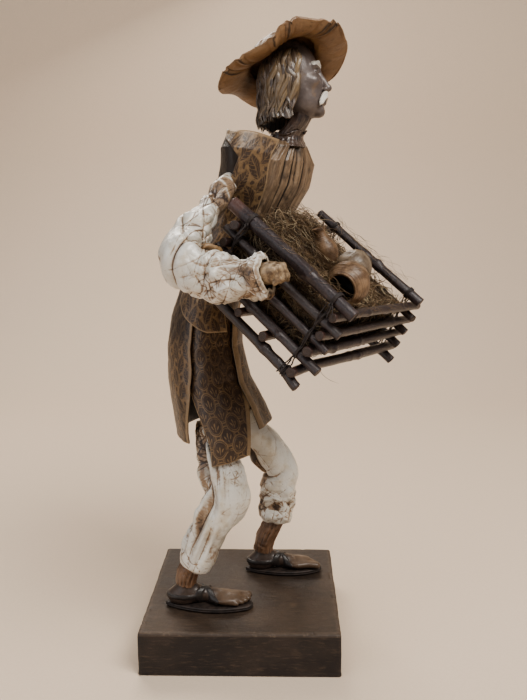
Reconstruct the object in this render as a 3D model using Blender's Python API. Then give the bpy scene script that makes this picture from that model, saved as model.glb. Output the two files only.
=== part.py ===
"""Lacquered-paper figurine of an old vendor who carries a twig crate of straw and small pots.

Millimetres in the code, metres in the scene. Origin: centre of the base block's underside.
+X is the way the figure's feet point, +Y its left, +Z up. In names, "near" is the figure's
right (-Y) and "far" its left (+Y).
"""

import math
from math import cos, radians, sin

import bmesh
import bpy
import numpy as np

for old in list(bpy.data.objects):
    bpy.data.objects.remove(old, do_unlink=True)

MM = 0.001
GAP = 0.4  # clearance between neighbouring pieces
WIRE_R = 0.95
PAPER = 1.3  # wall of the crumpled sleeves and trousers
SHEET = 0.9  # thickness of the skirt and vest sheets

# ------------------------------------------------------------------ vectors and materials


def vec(*parts):
    return np.array(parts, float)


def unit(v):
    return v / np.linalg.norm(v)


AHEAD = vec(1, 0, 0)
LEFT = vec(0, 1, 0)
UP = vec(0, 0, 1)

# base colour, roughness
FINISHES = {
    "wood_base": ((0.05, 0.03, 0.02, 1), 0.6),
    "bark": ((0.09, 0.06, 0.06, 1), 0.6),
    "cord": ((0.05, 0.04, 0.04, 1), 0.8),
    "straw": ((0.32, 0.2, 0.09, 1), 0.8),
    "pot": ((0.45, 0.28, 0.16, 1), 0.5),
    "white_paper": ((0.75, 0.72, 0.66, 1), 0.45),
    "brown_paper": ((0.25, 0.15, 0.08, 1), 0.45),
    "print_paper": ((0.14, 0.09, 0.05, 1), 0.4),
    "core_paper": ((0.4, 0.33, 0.24, 1), 0.8),
    "hat_paper": ((0.3, 0.17, 0.08, 1), 0.4),
    "skin": ((0.16, 0.12, 0.11, 1), 0.35),
    "hair": ((0.35, 0.25, 0.15, 1), 0.5),
    "white_hair": ((0.7, 0.68, 0.63, 1), 0.5),
    "leg_paper": ((0.2, 0.11, 0.07, 1), 0.5),
    "sandal": ((0.06, 0.045, 0.04, 1), 0.55),
    "steel": ((0.4, 0.4, 0.4, 1), 0.4),
}


def material(name, finish):
    colour, roughness = FINISHES[finish]
    mat = bpy.data.materials.new(name + "_" + finish)
    mat.use_nodes = True
    shader = mat.node_tree.nodes["Principled BSDF"]
    shader.inputs["Base Color"].default_value = colour
    shader.inputs["Roughness"].default_value = roughness
    if finish == "steel":
        shader.inputs["Metallic"].default_value = 1.0
    mat.diffuse_color = colour
    return mat


# ------------------------------------------------------------------ meshes


def mesh_object(name, verts, faces, finish, hidden=False, origin=(0.0, 0.0, 0.0)):
    """One closed mesh, its faces turned outward. origin: where the object's own origin lies."""
    origin = np.asarray(origin, float)
    me = bpy.data.meshes.new(name)
    me.from_pydata(((np.array(verts, float) - origin) * MM).tolist(), [], faces)
    bm = bmesh.new()
    bm.from_mesh(me)
    bmesh.ops.recalc_face_normals(bm, faces=bm.faces)
    if bm.calc_volume(signed=True) < 0:
        bmesh.ops.reverse_faces(bm, faces=bm.faces)
    bm.to_mesh(me)
    bm.free()
    ob = bpy.data.objects.new(name, me)
    ob.location = (origin * MM).tolist()
    bpy.context.scene.collection.objects.link(ob)
    me.materials.append(material(name, finish))
    me.shade_smooth()
    me.set_sharp_from_angle(angle=radians(40))
    if hidden:
        ob.hide_render = True
        ob.display_type = "WIRE"
    return ob


def add_bridge(faces, a, b, n):
    """Quads between two rings that start at a and b, n points each."""
    for i in range(n):
        j = (i + 1) % n
        faces.append((a + i, a + j, b + j, b + i))


def add_cap(verts, faces, start, ring, flip=False):
    """A fan over a ring whose points begin at index start."""
    centre = len(verts)
    verts.append(np.mean(ring, axis=0))
    n = len(ring)
    for i in range(n):
        edge = (start + i, start + (i + 1) % n)
        faces.append((*(edge[::-1] if flip else edge), centre))


def solid(name, rings, finish, hidden=False):
    """Closed loft through rings of equal count, both ends capped."""
    n = len(rings[0])
    last = len(rings) - 1
    verts = [point for ring in rings for point in ring]
    faces = []
    for k in range(last):
        add_bridge(faces, k * n, (k + 1) * n, n)
    add_cap(verts, faces, 0, rings[0], flip=True)
    add_cap(verts, faces, last * n, rings[-1])
    return mesh_object(name, verts, faces, finish, hidden)


def open_tube(name, outer, inner, finish):
    """A tube wall between outer and inner rings, open at both ends."""
    rings = list(outer) + list(inner)[::-1]
    n = len(rings[0])
    verts = [point for ring in rings for point in ring]
    faces = []
    for k in range(len(rings)):
        add_bridge(faces, k * n, ((k + 1) % len(rings)) * n, n)
    mesh_object(name, verts, faces, finish)


def blind_cup(name, outer, inner, finish):
    """A wall between outer and inner rings, open at the first rings and closed at the last."""
    n = len(outer[0])
    verts = [point for ring in outer for point in ring]
    faces = []
    for k in range(len(outer) - 1):
        add_bridge(faces, k * n, (k + 1) * n, n)
    add_cap(verts, faces, (len(outer) - 1) * n, outer[-1])
    base = len(verts)
    verts += [point for ring in inner for point in ring]
    for k in range(len(inner) - 1):
        add_bridge(faces, base + (k + 1) * n, base + k * n, n)
    add_cap(verts, faces, base + (len(inner) - 1) * n, inner[-1], flip=True)
    add_bridge(faces, base, 0, n)
    mesh_object(name, verts, faces, finish)


def panel(name, outer, inner, finish):
    """A thick sheet between two grids (rows, cols, 3) with all four edges closed."""
    outer = np.asarray(outer)
    inner = np.asarray(inner)
    rows, cols = outer.shape[:2]
    verts = list(outer.reshape(-1, 3)) + list(inner.reshape(-1, 3))
    o = rows * cols  # index offset of the inner grid
    faces = []

    def at(i, j):
        return i * cols + j

    def add_edge(a, b):
        faces.append((a, b, o + b, o + a))

    for i in range(rows - 1):
        for j in range(cols - 1):
            a, b, c, d = at(i, j), at(i, j + 1), at(i + 1, j + 1), at(i + 1, j)
            faces.append((a, b, c, d))
            faces.append((o + a, o + d, o + c, o + b))
    for j in range(cols - 1):
        add_edge(at(0, j + 1), at(0, j))
        add_edge(at(rows - 1, j), at(rows - 1, j + 1))
    for i in range(rows - 1):
        add_edge(at(i, 0), at(i + 1, 0))
        add_edge(at(i + 1, cols - 1), at(i, cols - 1))
    mesh_object(name, verts, faces, finish)


# ------------------------------------------------------------------ rings and paths


def around(n):
    """n even angles round a full turn."""
    return [2 * math.pi * i / n for i in range(n)]


def ellipse(centre, a, b, n):
    """Ring of n points; a and b are the half-axes as vectors."""
    return np.array([centre + a * cos(t) + b * sin(t) for t in around(n)])


def frames(path):
    """Two side vectors at each point of a path, carried along it without twist."""
    tangents = np.gradient(np.asarray(path, float), axis=0)
    tangents /= np.linalg.norm(tangents, axis=1)[:, None]
    side = np.cross(tangents[0], UP)
    if np.linalg.norm(side) < 0.2:  # the path starts nearly upright
        side = np.cross(tangents[0], LEFT)
    side = unit(side)
    out = []
    for tangent in tangents:
        side = unit(side - tangent * side.dot(tangent))
        out.append((side, np.cross(side, tangent)))
    return out


def rings_along(path, radii, n, wobble=0.0, seed=0):
    """Rings round a path. radii: one number, or per point a number or a pair of half-axes."""
    if np.ndim(radii) == 0:
        radii = [radii] * len(path)
    phase = np.random.default_rng(seed).uniform(0, 6.28, 4)
    out = []
    for k, (point, (a, b)) in enumerate(zip(path, frames(path))):
        radius_a, radius_b = np.broadcast_to(radii[k], 2)
        ring = []
        for t in around(n):
            ripple = sin(3 * t + phase[0] + k) + 0.6 * sin(5 * t + phase[1] - 1.7 * k)
            w = 1 + wobble * ripple
            ring.append(point + a * radius_a * w * cos(t) + b * radius_b * w * sin(t))
        out.append(np.array(ring))
    return out


def shrink(rings, d):
    """The rings moved d inward, towards each ring's middle."""
    out = []
    for ring in rings:
        centre = ring.mean(axis=0)
        length = np.linalg.norm(ring - centre, axis=1)[:, None]
        out.append(centre + (ring - centre) * (length - d) / length)
    return out


def smooth_path(points, steps):
    """Points along a Catmull-Rom curve through the given points."""
    p = np.asarray(points, float)
    q = np.vstack([2 * p[0] - p[1], p, 2 * p[-1] - p[-2]])
    out = []
    for t in np.linspace(0, len(p) - 1, steps):
        i = min(int(t), len(p) - 2)
        u = t - i
        a, b, c, d = q[i : i + 4]
        square = (2 * a - 5 * b + 4 * c - d) * u * u
        cube = (3 * b - a - 3 * c + d) * u**3
        out.append(0.5 * (2 * b + (c - a) * u + square + cube))
    return np.array(out)


def spread(values, steps):
    """Values, or rows of values, spread over the steps by straight interpolation."""
    columns = np.asarray(values, float).reshape(len(values), -1).T
    t = np.linspace(0, len(values) - 1, steps)
    return np.stack([np.interp(t, range(len(values)), column) for column in columns], axis=1)


def at_height(table, z):
    """The columns after the first, interpolated at height z of the first."""
    heights, *columns = zip(*table)
    return [float(np.interp(z, heights, column)) for column in columns]


def crumpled_tube(name, points, radii, steps, seed):
    """White paper tube, open at both ends, with an uneven section."""
    path = smooth_path(points, steps)
    outer = rings_along(path, spread(radii, steps), 13, wobble=0.02, seed=seed)
    open_tube(name, outer, shrink(outer, PAPER), "white_paper")


def bore(target, foot, low, high, radius, cutter_name, modifier_name="bore"):
    """Cuts an upright round hole above the point foot, from height low to high."""
    rings = rings_along([foot + UP * low, foot + UP * high], radius, 16)
    cutter = solid(cutter_name, rings, "steel", hidden=True)
    mod = target.modifiers.new(modifier_name, "BOOLEAN")
    mod.operation = "DIFFERENCE"
    mod.solver = "EXACT"
    mod.object = cutter


# ------------------------------------------------------------------ base block
BASE = 100.0
TOP = 22.5
BASE_BEVEL = 1.3
BASE_BORE_R = 1.3
BASE_BORE_LOW = 9.0
ANKLES = {"right": vec(-27.0, -22.0, 0), "left": vec(10.5, 19.5, 0)}


def cut_square(half, z, cut):
    """Square ring with its corners cut off."""
    points = []
    for sx, sy in ((1, 1), (-1, 1), (-1, -1), (1, -1)):
        a = vec(sx * half, sy * (half - cut), z)
        b = vec(sx * (half - cut), sy * half, z)
        points += [a, b] if sx * sy > 0 else [b, a]
    return np.array(points)


def base_block():
    half, bevel = BASE / 2, BASE_BEVEL
    rings = [
        cut_square(half - bevel, 0, bevel),
        cut_square(half, bevel, bevel * 1.3),
        cut_square(half, TOP - bevel, bevel * 1.3),
        cut_square(half - bevel, TOP, bevel),
    ]
    block = solid("base_block", rings, "wood_base")
    for k, ankle in enumerate(ANKLES.values()):
        bore(block, ankle, BASE_BORE_LOW, TOP + 4, BASE_BORE_R, f"cut_base_{k}", f"bore_{k}")


base_block()

# ------------------------------------------------------------------ sandals and feet
# A foot points along +X from its heel; the ankle sits over the wire.
FOOT_YAW = {"right": radians(-3), "left": radians(2)}
FOOT_BORE_R = WIRE_R + GAP
SOLE_LOW = TOP + GAP
SOLE_THICK = 2.0
FOOT_LOW = SOLE_LOW + SOLE_THICK + GAP
SOLE_HEEL, SOLE_TOE, SOLE_HALF = -9.5, 31.5, 8.0  # ends from the ankle, nominal half width

# distance ahead of the ankle, half width, height
FOOT = [
    (-8.0, 2.5, 3.5), (-7.0, 4.4, 5.5), (-4.0, 5.6, 8.5), (0.0, 5.8, 9.6), (4.5, 5.6, 9.0),
    (9.5, 5.9, 7.2), (15.0, 6.8, 5.6), (20.5, 7.1, 4.7), (25.0, 6.2, 4.0), (27.5, 4.4, 3.0),
    (28.6, 2.2, 1.8),
]


def foot_xy(side, x, y):
    """Place in the scene of a point given from the ankle, in the foot's own directions."""
    c, s = cos(FOOT_YAW[side]), sin(FOOT_YAW[side])
    return ANKLES[side][0] + c * x - s * y, ANKLES[side][1] + s * x + c * y


def sole(side):
    ankle = ANKLES[side]
    outline = []
    for t in around(24):
        x = (SOLE_TOE - SOLE_HEEL) / 2 * cos(t) + (SOLE_TOE + SOLE_HEEL) / 2
        width = SOLE_HALF * (1.0 + 0.22 * cos(t) - 0.10 * cos(2 * t))
        outline.append(foot_xy(side, x, width * sin(t)))
    outline = np.array(outline)
    underside = outline * 0.98 + ankle[:2] * 0.02
    rings = [
        np.array([(x, y, z) for x, y in points])
        for points, z in (
            (underside, SOLE_LOW), (outline, SOLE_LOW + 0.8), (outline, SOLE_LOW + SOLE_THICK),
        )
    ]
    ob = solid("sole_" + side, rings, "sandal")
    bore(ob, ankle, TOP - 3, TOP + 9, FOOT_BORE_R, "cut_" + ob.name)


def foot(side):
    """Wedge from a low toe to a high instep, flattened underneath."""
    rings = []
    for x, half, height in FOOT:
        ring = []
        for t in around(12):
            z = height / 2 * (1 + sin(t))
            if sin(t) < -0.2:
                z *= 0.35
            ring.append((*foot_xy(side, x, half * cos(t)), FOOT_LOW + z))
        rings.append(np.array(ring))
    ob = solid("foot_" + side, rings, "leg_paper")
    bore(ob, ANKLES[side], TOP, TOP + 18, FOOT_BORE_R, "cut_" + ob.name)


for side in ANKLES:
    sole(side)
    foot(side)

# ------------------------------------------------------------------ legs and trousers
LEG_STEPS = 9
LEG_BORE_R = 1.5
LEG_RADII = (4.1, 4.3, 4.9, 5.3, 5.4, 5.6, 5.8, 5.2)  # ankle to hip
WIRE_LOW = 9.8
WIRE_STRAIGHT = 22.0  # height up to which the wire is upright

# points on the centre line, ankle to hip
LEG_POINTS = {
    "right": [
        (-27.0, -22.0, 36.6), (-26.4, -22.0, 42.0), (-21.5, -22.0, 54.0), (-14.5, -22.5, 70.0),
        (-8.2, -22.5, 84.0), (-8.6, -20.5, 97.0), (-11.5, -17.0, 110.0), (-14.0, -13.0, 124.0),
    ],
    "left": [
        (10.5, 19.5, 36.6), (11.4, 19.5, 42.0), (16.4, 20.0, 54.0), (18.4, 20.0, 68.0),
        (19.2, 19.5, 81.0), (12.4, 17.6, 96.0), (4.4, 14.8, 107.0), (-3.8, 12.6, 117.5),
    ],
}


def leg_wire(side, leg_path):
    """Wire from the base block through the foot and up inside the leg."""
    ankle = ANKLES[side]
    path = np.vstack([ankle + UP * WIRE_LOW, ankle + UP * WIRE_STRAIGHT, leg_path[:-1]])
    # The first two points inside the leg are drawn very slightly towards the ankle's axis.
    path[2:4, :2] = path[2:4, :2] * 0.999 + ankle[:2] * 0.001
    solid("leg_wire_" + side, rings_along(path, WIRE_R, 8), "steel")


def leg(side, path):
    """Wrapped core, bored from below for the wire."""
    outer = rings_along(path, spread(LEG_RADII, LEG_STEPS), 10, wobble=0.02, seed=3)
    inner = [
        ellipse(point, LEG_BORE_R * a, LEG_BORE_R * b, 10)
        for point, (a, b) in zip(path, frames(path))
    ][:-1]
    # The last bore ring stops short of the closed top.
    inner[-1] = inner[-1] + (path[-1] - path[-2]) * 0.5
    blind_cup("leg_" + side, outer, inner, "leg_paper")


for side, points in LEG_POINTS.items():
    leg_path = smooth_path(points, LEG_STEPS)
    leg_wire(side, leg_path)
    leg(side, leg_path)

# centre line from hem to hip, and half-axes of the section at each point
TROUSER_RIGHT = [
    (-24.5, -22.0, 43.0), (-20.0, -22.0, 56.0), (-13.6, -22.3, 70.0), (-7.8, -22.3, 83.0),
    (-9.2, -19.6, 97.0), (-12.0, -16.6, 110.0), (-14.0, -13.6, 121.0),
]
TROUSER_RIGHT_RADII = [
    (8.8, 8.6), (9.8, 9.4), (10.2, 9.6), (10.8, 10.2), (10.8, 10.0), (10.4, 9.6), (9.6, 9.4),
]
TROUSER_LEFT = [
    (16.8, 20.0, 53.0), (18.0, 20.0, 63.0), (19.2, 19.8, 74.0), (18.8, 19.4, 83.0),
    (12.4, 17.6, 96.0), (4.4, 14.8, 107.0), (-2.4, 13.0, 115.5),
]
TROUSER_LEFT_RADII = [
    (8.8, 8.6), (10.0, 9.4), (9.9, 9.4), (10.2, 9.8), (10.2, 9.8), (9.6, 9.6), (9.0, 9.2),
]
crumpled_tube("trouser_right", TROUSER_RIGHT, TROUSER_RIGHT_RADII, steps=9, seed=11)
crumpled_tube("trouser_left", TROUSER_LEFT, TROUSER_LEFT_RADII, steps=9, seed=12)

# ------------------------------------------------------------------ torso
CHEST_YAW = radians(-33)
CHEST_LEFT = vec(-sin(CHEST_YAW), cos(CHEST_YAW), 0)
CORE_BORE_R = 1.6  # bore for the spine wire

# height, centre x, centre y, half width, half depth, share of the chest's yaw
BODY = [
    (127.5, -11.0, 0.0, 17.0, 12.0, 0.10),
    (142.0, -15.0, 0.5, 17.5, 13.0, 0.15),
    (158.0, -18.0, 1.5, 17.5, 12.5, 0.30),
    (174.0, -17.0, 3.0, 17.5, 11.5, 0.50),
    (190.0, -11.5, 6.0, 19.0, 11.0, 0.75),
    (206.0, -3.0, 9.5, 22.0, 11.0, 0.95),
    (222.0, 7.0, 12.5, 25.5, 11.5, 1.00),
    (238.0, 15.5, 13.5, 28.5, 12.0, 1.00),
    (250.0, 19.0, 13.5, 27.0, 11.5, 1.00),
    (258.0, 21.0, 12.5, 13.5, 9.0, 1.00),
]


def body_point(z, t, gap):
    """Point gap off the body at height z; angle 0 is ahead and 90 degrees is left."""
    cx, cy, half_width, half_depth, turn = at_height(BODY, z)
    c, s = cos(CHEST_YAW * turn), sin(CHEST_YAW * turn)
    ahead = vec(c, s, 0) * (half_depth + gap)
    left = vec(-s, c, 0) * (half_width + gap)
    return vec(cx, cy, z) + ahead * cos(t) + left * sin(t)


def body_ring(z, n, gap=0.0):
    return np.array([body_point(z, t, gap) for t in around(n)])


def level_circle(centre, radius, n):
    return ellipse(vec(*centre), AHEAD * radius, LEFT * radius, n)


def torso_core():
    outer = [body_ring(row[0], 16) for row in BODY]
    inner = [level_circle((x, y, z), CORE_BORE_R, 16) for z, x, y, *_ in BODY]
    open_tube("torso_core", outer, inner, "core_paper")


torso_core()

# ------------------------------------------------------------------ head
SKULL = vec(27.5, 10.0, 290.0)  # centre of the skull
HEAD_UP = unit(vec(-0.14, 0.12, 1.0))
HEAD_LEAN = unit(vec(1.0, 0.0, 0.10))
# The lean is normalised only after its share along HEAD_UP is taken off.
HEAD_AHEAD = unit(HEAD_LEAN - HEAD_UP * HEAD_LEAN.dot(HEAD_UP))
HEAD_LEFT = np.cross(HEAD_UP, HEAD_AHEAD)
SKULL_DEPTH, SKULL_WIDTH, SKULL_HEIGHT = 15.2, 12.2, 21.5  # half sizes
JAW_TOP = -6

# heights of the head's rings above the skull's centre
HEAD_LEVELS = (
    -21.0, -19.0, -16.5, -13.6, -10.6, -8.2, -6.2, -3.0, 1.0, 5.0, 9.0, 13.0, 17.0, 20.2,
)

# rise, height and its spread, angle off the nose and its spread
FACE_BUMPS = [
    (1.0, 5.0, 1.6, 0.0, 0.9),  # brow
    (1.2, -10.6, 1.7, 0.0, 0.42),  # lips
    (1.6, -16.5, 2.4, 0.0, 0.5),  # chin
    (-1.0, 2.0, 2.0, 0.45, 0.28),  # eye hollows
]


def on_head(t, v, r):
    """Point at angle t from straight ahead, v above the skull's centre, r off the head's axis."""
    return SKULL + HEAD_UP * v + (HEAD_AHEAD * cos(t) + HEAD_LEFT * sin(t)) * r


def head_radius(t, v):
    """Distance of the plain head's surface from its axis."""
    k = math.sqrt(1 - ((v + 1.0) / SKULL_HEIGHT) ** 2)
    r = k / math.hypot(cos(t) / SKULL_DEPTH, sin(t) / SKULL_WIDTH)
    # Jaw: narrower and set forward.
    if v < JAW_TOP:
        low = (JAW_TOP - v) / 15.0
        r *= 1 - 0.30 * low * max(0.0, -cos(t)) - 0.10 * low * abs(sin(t))
    return r


def face_bump(t, v):
    """Rise of the face off the plain head: a nose wedge and small bumps."""
    t = min(t, 2 * math.pi - t)
    rise = 0.0
    if -6.5 < v < 3.5:
        rise += 4.2 * (3.5 - v) / 10.0 * max(0.0, 1 - (t / 0.32) ** 2)
    for height, v0, v_spread, t0, t_spread in FACE_BUMPS:
        across = max(0.0, 1 - ((t - t0) / t_spread) ** 2)
        rise += height * math.exp(-(((v - v0) / v_spread) ** 2)) * across
    return rise


def head():
    rings = [
        np.array([on_head(t, v, head_radius(t, v) + face_bump(t, v)) for t in around(24)])
        for v in HEAD_LEVELS
    ]
    solid("head", rings, "skin")


head()

NECK = [(21.5, 12.2, 258.8), (23.5, 11.4, 261.8), (26.0, 10.4, 264.8), (28.3, 9.2, 267.6)]
NECK_RADII = (7.8, 7.0, 6.6, 6.2)
NECK_BORE_R = 1.6
# the wire's last points, above the levels of the body
WIRE_END = [(21.0, 12.5, 256.5), (22.0, 12.0, 259.6), (24.6, 11.0, 263.1)]


def neck():
    """Level rings, so the ends are flat; bored from below for the spine wire."""
    outer = [level_circle(p, r, 18) for p, r in zip(NECK, NECK_RADII)]
    inner = [level_circle(p, NECK_BORE_R, 18) for p in NECK[:-1]]
    blind_cup("neck", outer, inner, "skin")


def spine_wire():
    path = np.array([(x, y, z) for z, x, y, *_ in BODY[:-1]] + WIRE_END)
    path[0, 2] += 1.5  # starts a little above the core's underside
    solid("spine_wire", rings_along(path, WIRE_R, 8), "steel")


neck()
spine_wire()

# ------------------------------------------------------------------ hair and moustache
# The hat sits tipped back and towards the figure's left; the hair ends below its brim.
HAT = vec(22.0, 10.0, 297.8)  # middle of the brim's plane
HAT_AHEAD = unit(vec(0.978, 0.0, 0.209))
HAT_LEFT = unit(vec(0.0, 0.875, -0.485))
HAT_UP = np.cross(HAT_AHEAD, HAT_LEFT)
HAIR_START = 1.05  # angle from straight ahead to the hair's front edge


def hair_point(t, v, out):
    """A point out millimetres off the head; the lower hair hangs round the neck."""
    r = max(head_radius(t, max(v, -12.0)), 9.4) + 0.6 + 0.10 * max(0.0, -v - 4)
    back = 5.6 * min(1.0, max(0.0, (-v - 3) / 14.0))
    return on_head(t, v, r + out) - HEAD_AHEAD * back


def hair_top(t):
    """Height at which the hair stays under the hat."""
    top = 12.0
    while top > -9 and (hair_point(t, top, 3.6) - HAT).dot(HAT_UP) > -0.9:
        top -= 0.25
    return top


def hair():
    """A cap of hair round the back and sides, from under the hat to the collar."""
    cols, rows = 19, 7
    outer, inner = [], []
    for i in range(rows):
        outer_row, inner_row = [], []
        for j in range(cols):
            t = HAIR_START + (2 * math.pi - 2 * HAIR_START) * j / (cols - 1)
            from_front = min(t, 2 * math.pi - t)
            low = -21.0 + 1.2 * sin(5 * t)
            v = low + (hair_top(t) - low) * i / (rows - 1)
            swell = sin((from_front - HAIR_START) / (math.pi - HAIR_START) * math.pi * 0.9)
            thick = 2.0 + 1.3 * swell + 0.25 * sin(9 * t + 0.4 * v)
            if j in (0, cols - 1):
                thick *= 0.5
            inner_row.append(hair_point(t, v, 0.0))
            outer_row.append(hair_point(t, v, thick))
        outer.append(outer_row)
        inner.append(inner_row)
    panel("hair", outer, inner, "hair")


def moustache():
    """A thick moustache that droops past the mouth, set just off the lip."""
    path, radii = [], []
    for s in np.linspace(-1, 1, 13):
        t = s * 0.62
        v = -8.4 - 4.4 * abs(s) ** 1.5
        r = head_radius(t, v) + face_bump(abs(t), v) + GAP + 2.3
        path.append(on_head(t, v, r))
        radii.append(1.35 * (1 - 0.55 * s**2))
    solid("moustache", rings_along(path, radii, 8), "white_hair")


hair()
moustache()

# ------------------------------------------------------------------ hat
HAT_SIDES = 24
BRIM_THICK = 0.9
# radius, height above the brim's plane; inside to rim, and bottom to top
BRIM = ((18.3, 3.4), (19.4, 2.2), (22.8, 0.8), (26.5, 0.0), (30.0, 0.4), (32.4, 1.6))
CROWN = ((18.2, 5.2), (17.8, 8.4), (16.6, 12.0), (13.4, 14.6), (7.6, 15.6))


def on_hat(r, h, t):
    return HAT + HAT_AHEAD * r * cos(t) + HAT_LEFT * r * sin(t) + HAT_UP * h


def hat_brim():
    """Brim whose edge curls unevenly."""
    outer, inner = [], []
    for k, (radius, height) in enumerate(BRIM):
        curl = (k / (len(BRIM) - 1)) ** 2
        upper, lower = [], []
        for t in around(HAT_SIDES):
            lift = 1.6 * sin(3 * t + 0.6) + 1.1 * sin(5 * t + 2.0) + 0.6 * sin(8 * t)
            h = height + curl * lift
            r = radius + curl * (1.0 * sin(2 * t + 1.0) + 0.7 * sin(7 * t))
            upper.append(on_hat(r, h + BRIM_THICK, t))
            lower.append(on_hat(r, h, t))
        outer.append(np.array(upper))
        inner.append(np.array(lower))
    open_tube("hat_brim", outer, inner, "hat_paper")


def hat_crown():
    angles = around(HAT_SIDES)
    outer = [np.array([on_hat(r + 0.25 * sin(6 * t), h, t) for t in angles]) for r, h in CROWN]
    inner = []
    for k, (r, h) in enumerate(CROWN):
        drop = 1.1 if k else 0.0  # the open edge stays level
        inner.append(np.array([on_hat(r - 1.0, h - drop, t) for t in angles]))
    blind_cup("hat_crown", outer, inner, "hat_paper")


hat_brim()
hat_crown()

# ------------------------------------------------------------------ garments on the body
TUNIC_LEVELS = (174, 190, 206, 222, 238, 250, 257)
# centre x, y, z, radius
COLLAR = ((21.5, 12.2, 258.9, 11.3), (23.0, 11.6, 261.5, 10.0), (24.8, 10.9, 263.8, 9.4))
COLLAR_WIDEN = vec(1, 1.05, 1)  # wider across than fore and aft


def tunic():
    """One rippled wall right round the chest, above the waist."""
    outer = []
    for z in TUNIC_LEVELS:
        ring = body_ring(z, 20, 2.5 + 0.3 * sin(z * 0.3))
        centre = ring.mean(axis=0)
        for i, t in enumerate(around(20)):
            ring[i] += unit(ring[i] - centre) * 0.3 * sin(5 * t)
        outer.append(ring)
    inner = [body_ring(z, 20, 1.1) for z in TUNIC_LEVELS]
    open_tube("tunic", outer, inner, "brown_paper")


def collar():
    directions = [vec(cos(t), sin(t), 0) * COLLAR_WIDEN for t in around(20)]
    outer, inner = [], []
    for x, y, z, r in COLLAR:
        centre = vec(x, y, z)
        ripples = [0.3 * sin(5 * t) for t in around(20)]
        outer.append(np.array([centre + (r + e) * d for e, d in zip(ripples, directions)]))
        inner.append(np.array([centre + (r - 1.2) * d for d in directions]))
    open_tube("collar", outer, inner, "brown_paper")


tunic()
collar()


def sheet(name, heights, cols, start, end, point):
    """Printed sheet between two angles in degrees; 0 is ahead and 90 the figure's left.

    end may hold one angle per height. point(z, t, out) gives the surface, out off the inside.
    """
    rows = []
    for z, stop in zip(heights, np.broadcast_to(end, len(heights))):
        rows.append((z, np.linspace(radians(start), radians(stop), cols)))
    outer = [[point(z, t, SHEET) for t in angles] for z, angles in rows]
    inner = [[point(z, t, 0.0) for t in angles] for z, angles in rows]
    panel(name, outer, inner, "print_paper")


# Skirt panels hang from the waist: height, centre x, centre y, half width, half depth.
SKIRT = [
    (98.0, -8.0, 0.0, 33.0, 26.5),
    (112.0, -8.5, 0.0, 32.5, 25.0),
    (126.0, -12.5, 0.2, 30.0, 23.0),
    (140.0, -17.0, 0.5, 26.5, 20.5),
    (158.0, -18.8, 1.5, 24.0, 18.5),
    (172.0, -17.8, 3.0, 22.5, 17.2),
    (186.0, -13.5, 5.2, 23.6, 17.0),
]
NEAR_TUCK = -2.1  # the near panel lies inside the others
NEAR_HEIGHTS = np.linspace(102, 170, 6)
# The near panel's front edge slants: degrees at four heights.
NEAR_EDGE = np.interp(NEAR_HEIGHTS, [102, 112, 136, 160], [-58, -54, -30, -12])


def skirt_point(z, t, out):
    cx, cy, half_width, half_depth = at_height(SKIRT, z)
    e = out + 0.35 * sin(5 * t + 0.02 * z)
    return vec(cx + (half_depth + e) * cos(t), cy + (half_width + e) * sin(t), z)


def near_skirt_point(z, t, out):
    return skirt_point(z, t, out + NEAR_TUCK)


sheet("skirt_back", np.linspace(111, 186, 7), 14, 96, 254, skirt_point)
sheet("skirt_near", NEAR_HEIGHTS, 10, -118, NEAR_EDGE, near_skirt_point)
sheet("skirt_far", np.linspace(117, 170, 6), 11, -38, 90, skirt_point)


def vest_half(name, start, end, side, reach):
    """Half of the open vest over the tunic, with a raised shoulder. side: 1 left, -1 right."""

    def point(z, t, out):
        rise = max(0.0, (z - 226) / 30.0)
        push = reach * rise**1.6 * max(0.0, sin(t) * side) ** 2
        gap = 3.7 + 0.3 * sin(3 * t + z * 0.1)
        return body_point(z, t, gap + out) + CHEST_LEFT * side * push + UP * 0.45 * push

    sheet(name, np.linspace(189, 256, 8), 11, start, end, point)


vest_half("vest_near", -174, -40, side=-1, reach=15.0)
vest_half("vest_far", 46, 174, side=1, reach=7.0)

# ------------------------------------------------------------------ crate
CORNER = vec(49.0, -80.0, 181.2)  # near front top corner, on the rails' centre lines
CRATE_FRONT = unit(vec(0.665, -0.430, -0.611))  # down the slope, away from the chest
CRATE_LEAN = unit(vec(0.523, 0.852, -0.032))
CRATE_FAR = unit(CRATE_LEAN - CRATE_FRONT * CRATE_LEAN.dot(CRATE_FRONT))
CRATE_UP = np.cross(CRATE_FRONT, CRATE_FAR)
WIDE = [78.0, 82.0, 86.5, 91.0, 95.0]  # width at each side rail; the far side leans out

# tag, height, near radius, back end, near rail's front end, far rail's front end
SIDE_RAILS = [
    ("a", 1.4, 3.1, -75, 2.0, -0.6),
    ("b", -9.3, 2.1, -71, 2.2, 0.6),
    ("c", -18.6, 2.1, -70.5, 1.8, 0.6),
    ("d", -28.2, 2.4, -70.5, 4.0, 0.6),
    ("e", -38.5, 2.4, -71.5, -0.6, 2.0),
]
TOP_HEIGHT, TOP_R = SIDE_RAILS[0][1:3]
FAR_MAX_R = 2.4
FAR_BACK = -73.5  # the far rails reach no further back
FRONT_S, BACK_S = -4.0, -66.5  # places of the end rails along the crate
# tag, height, radius
END_RAILS = [("a", -4.4, 2.2), ("b", -13.95, 2.2), ("c", -23.25, 2.2), ("d", -33.35, 2.4)]
FLOOR = END_RAILS[-1][1]
SLATS = (-25.0, -41.0, -55.0)
SLAT_R = 2.2


def in_crate(s, w, h):
    """Point s to the front of the corner, w to the far side and h up, along the crate."""
    return CORNER + CRATE_FRONT * s + CRATE_FAR * w + CRATE_UP * h


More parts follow.
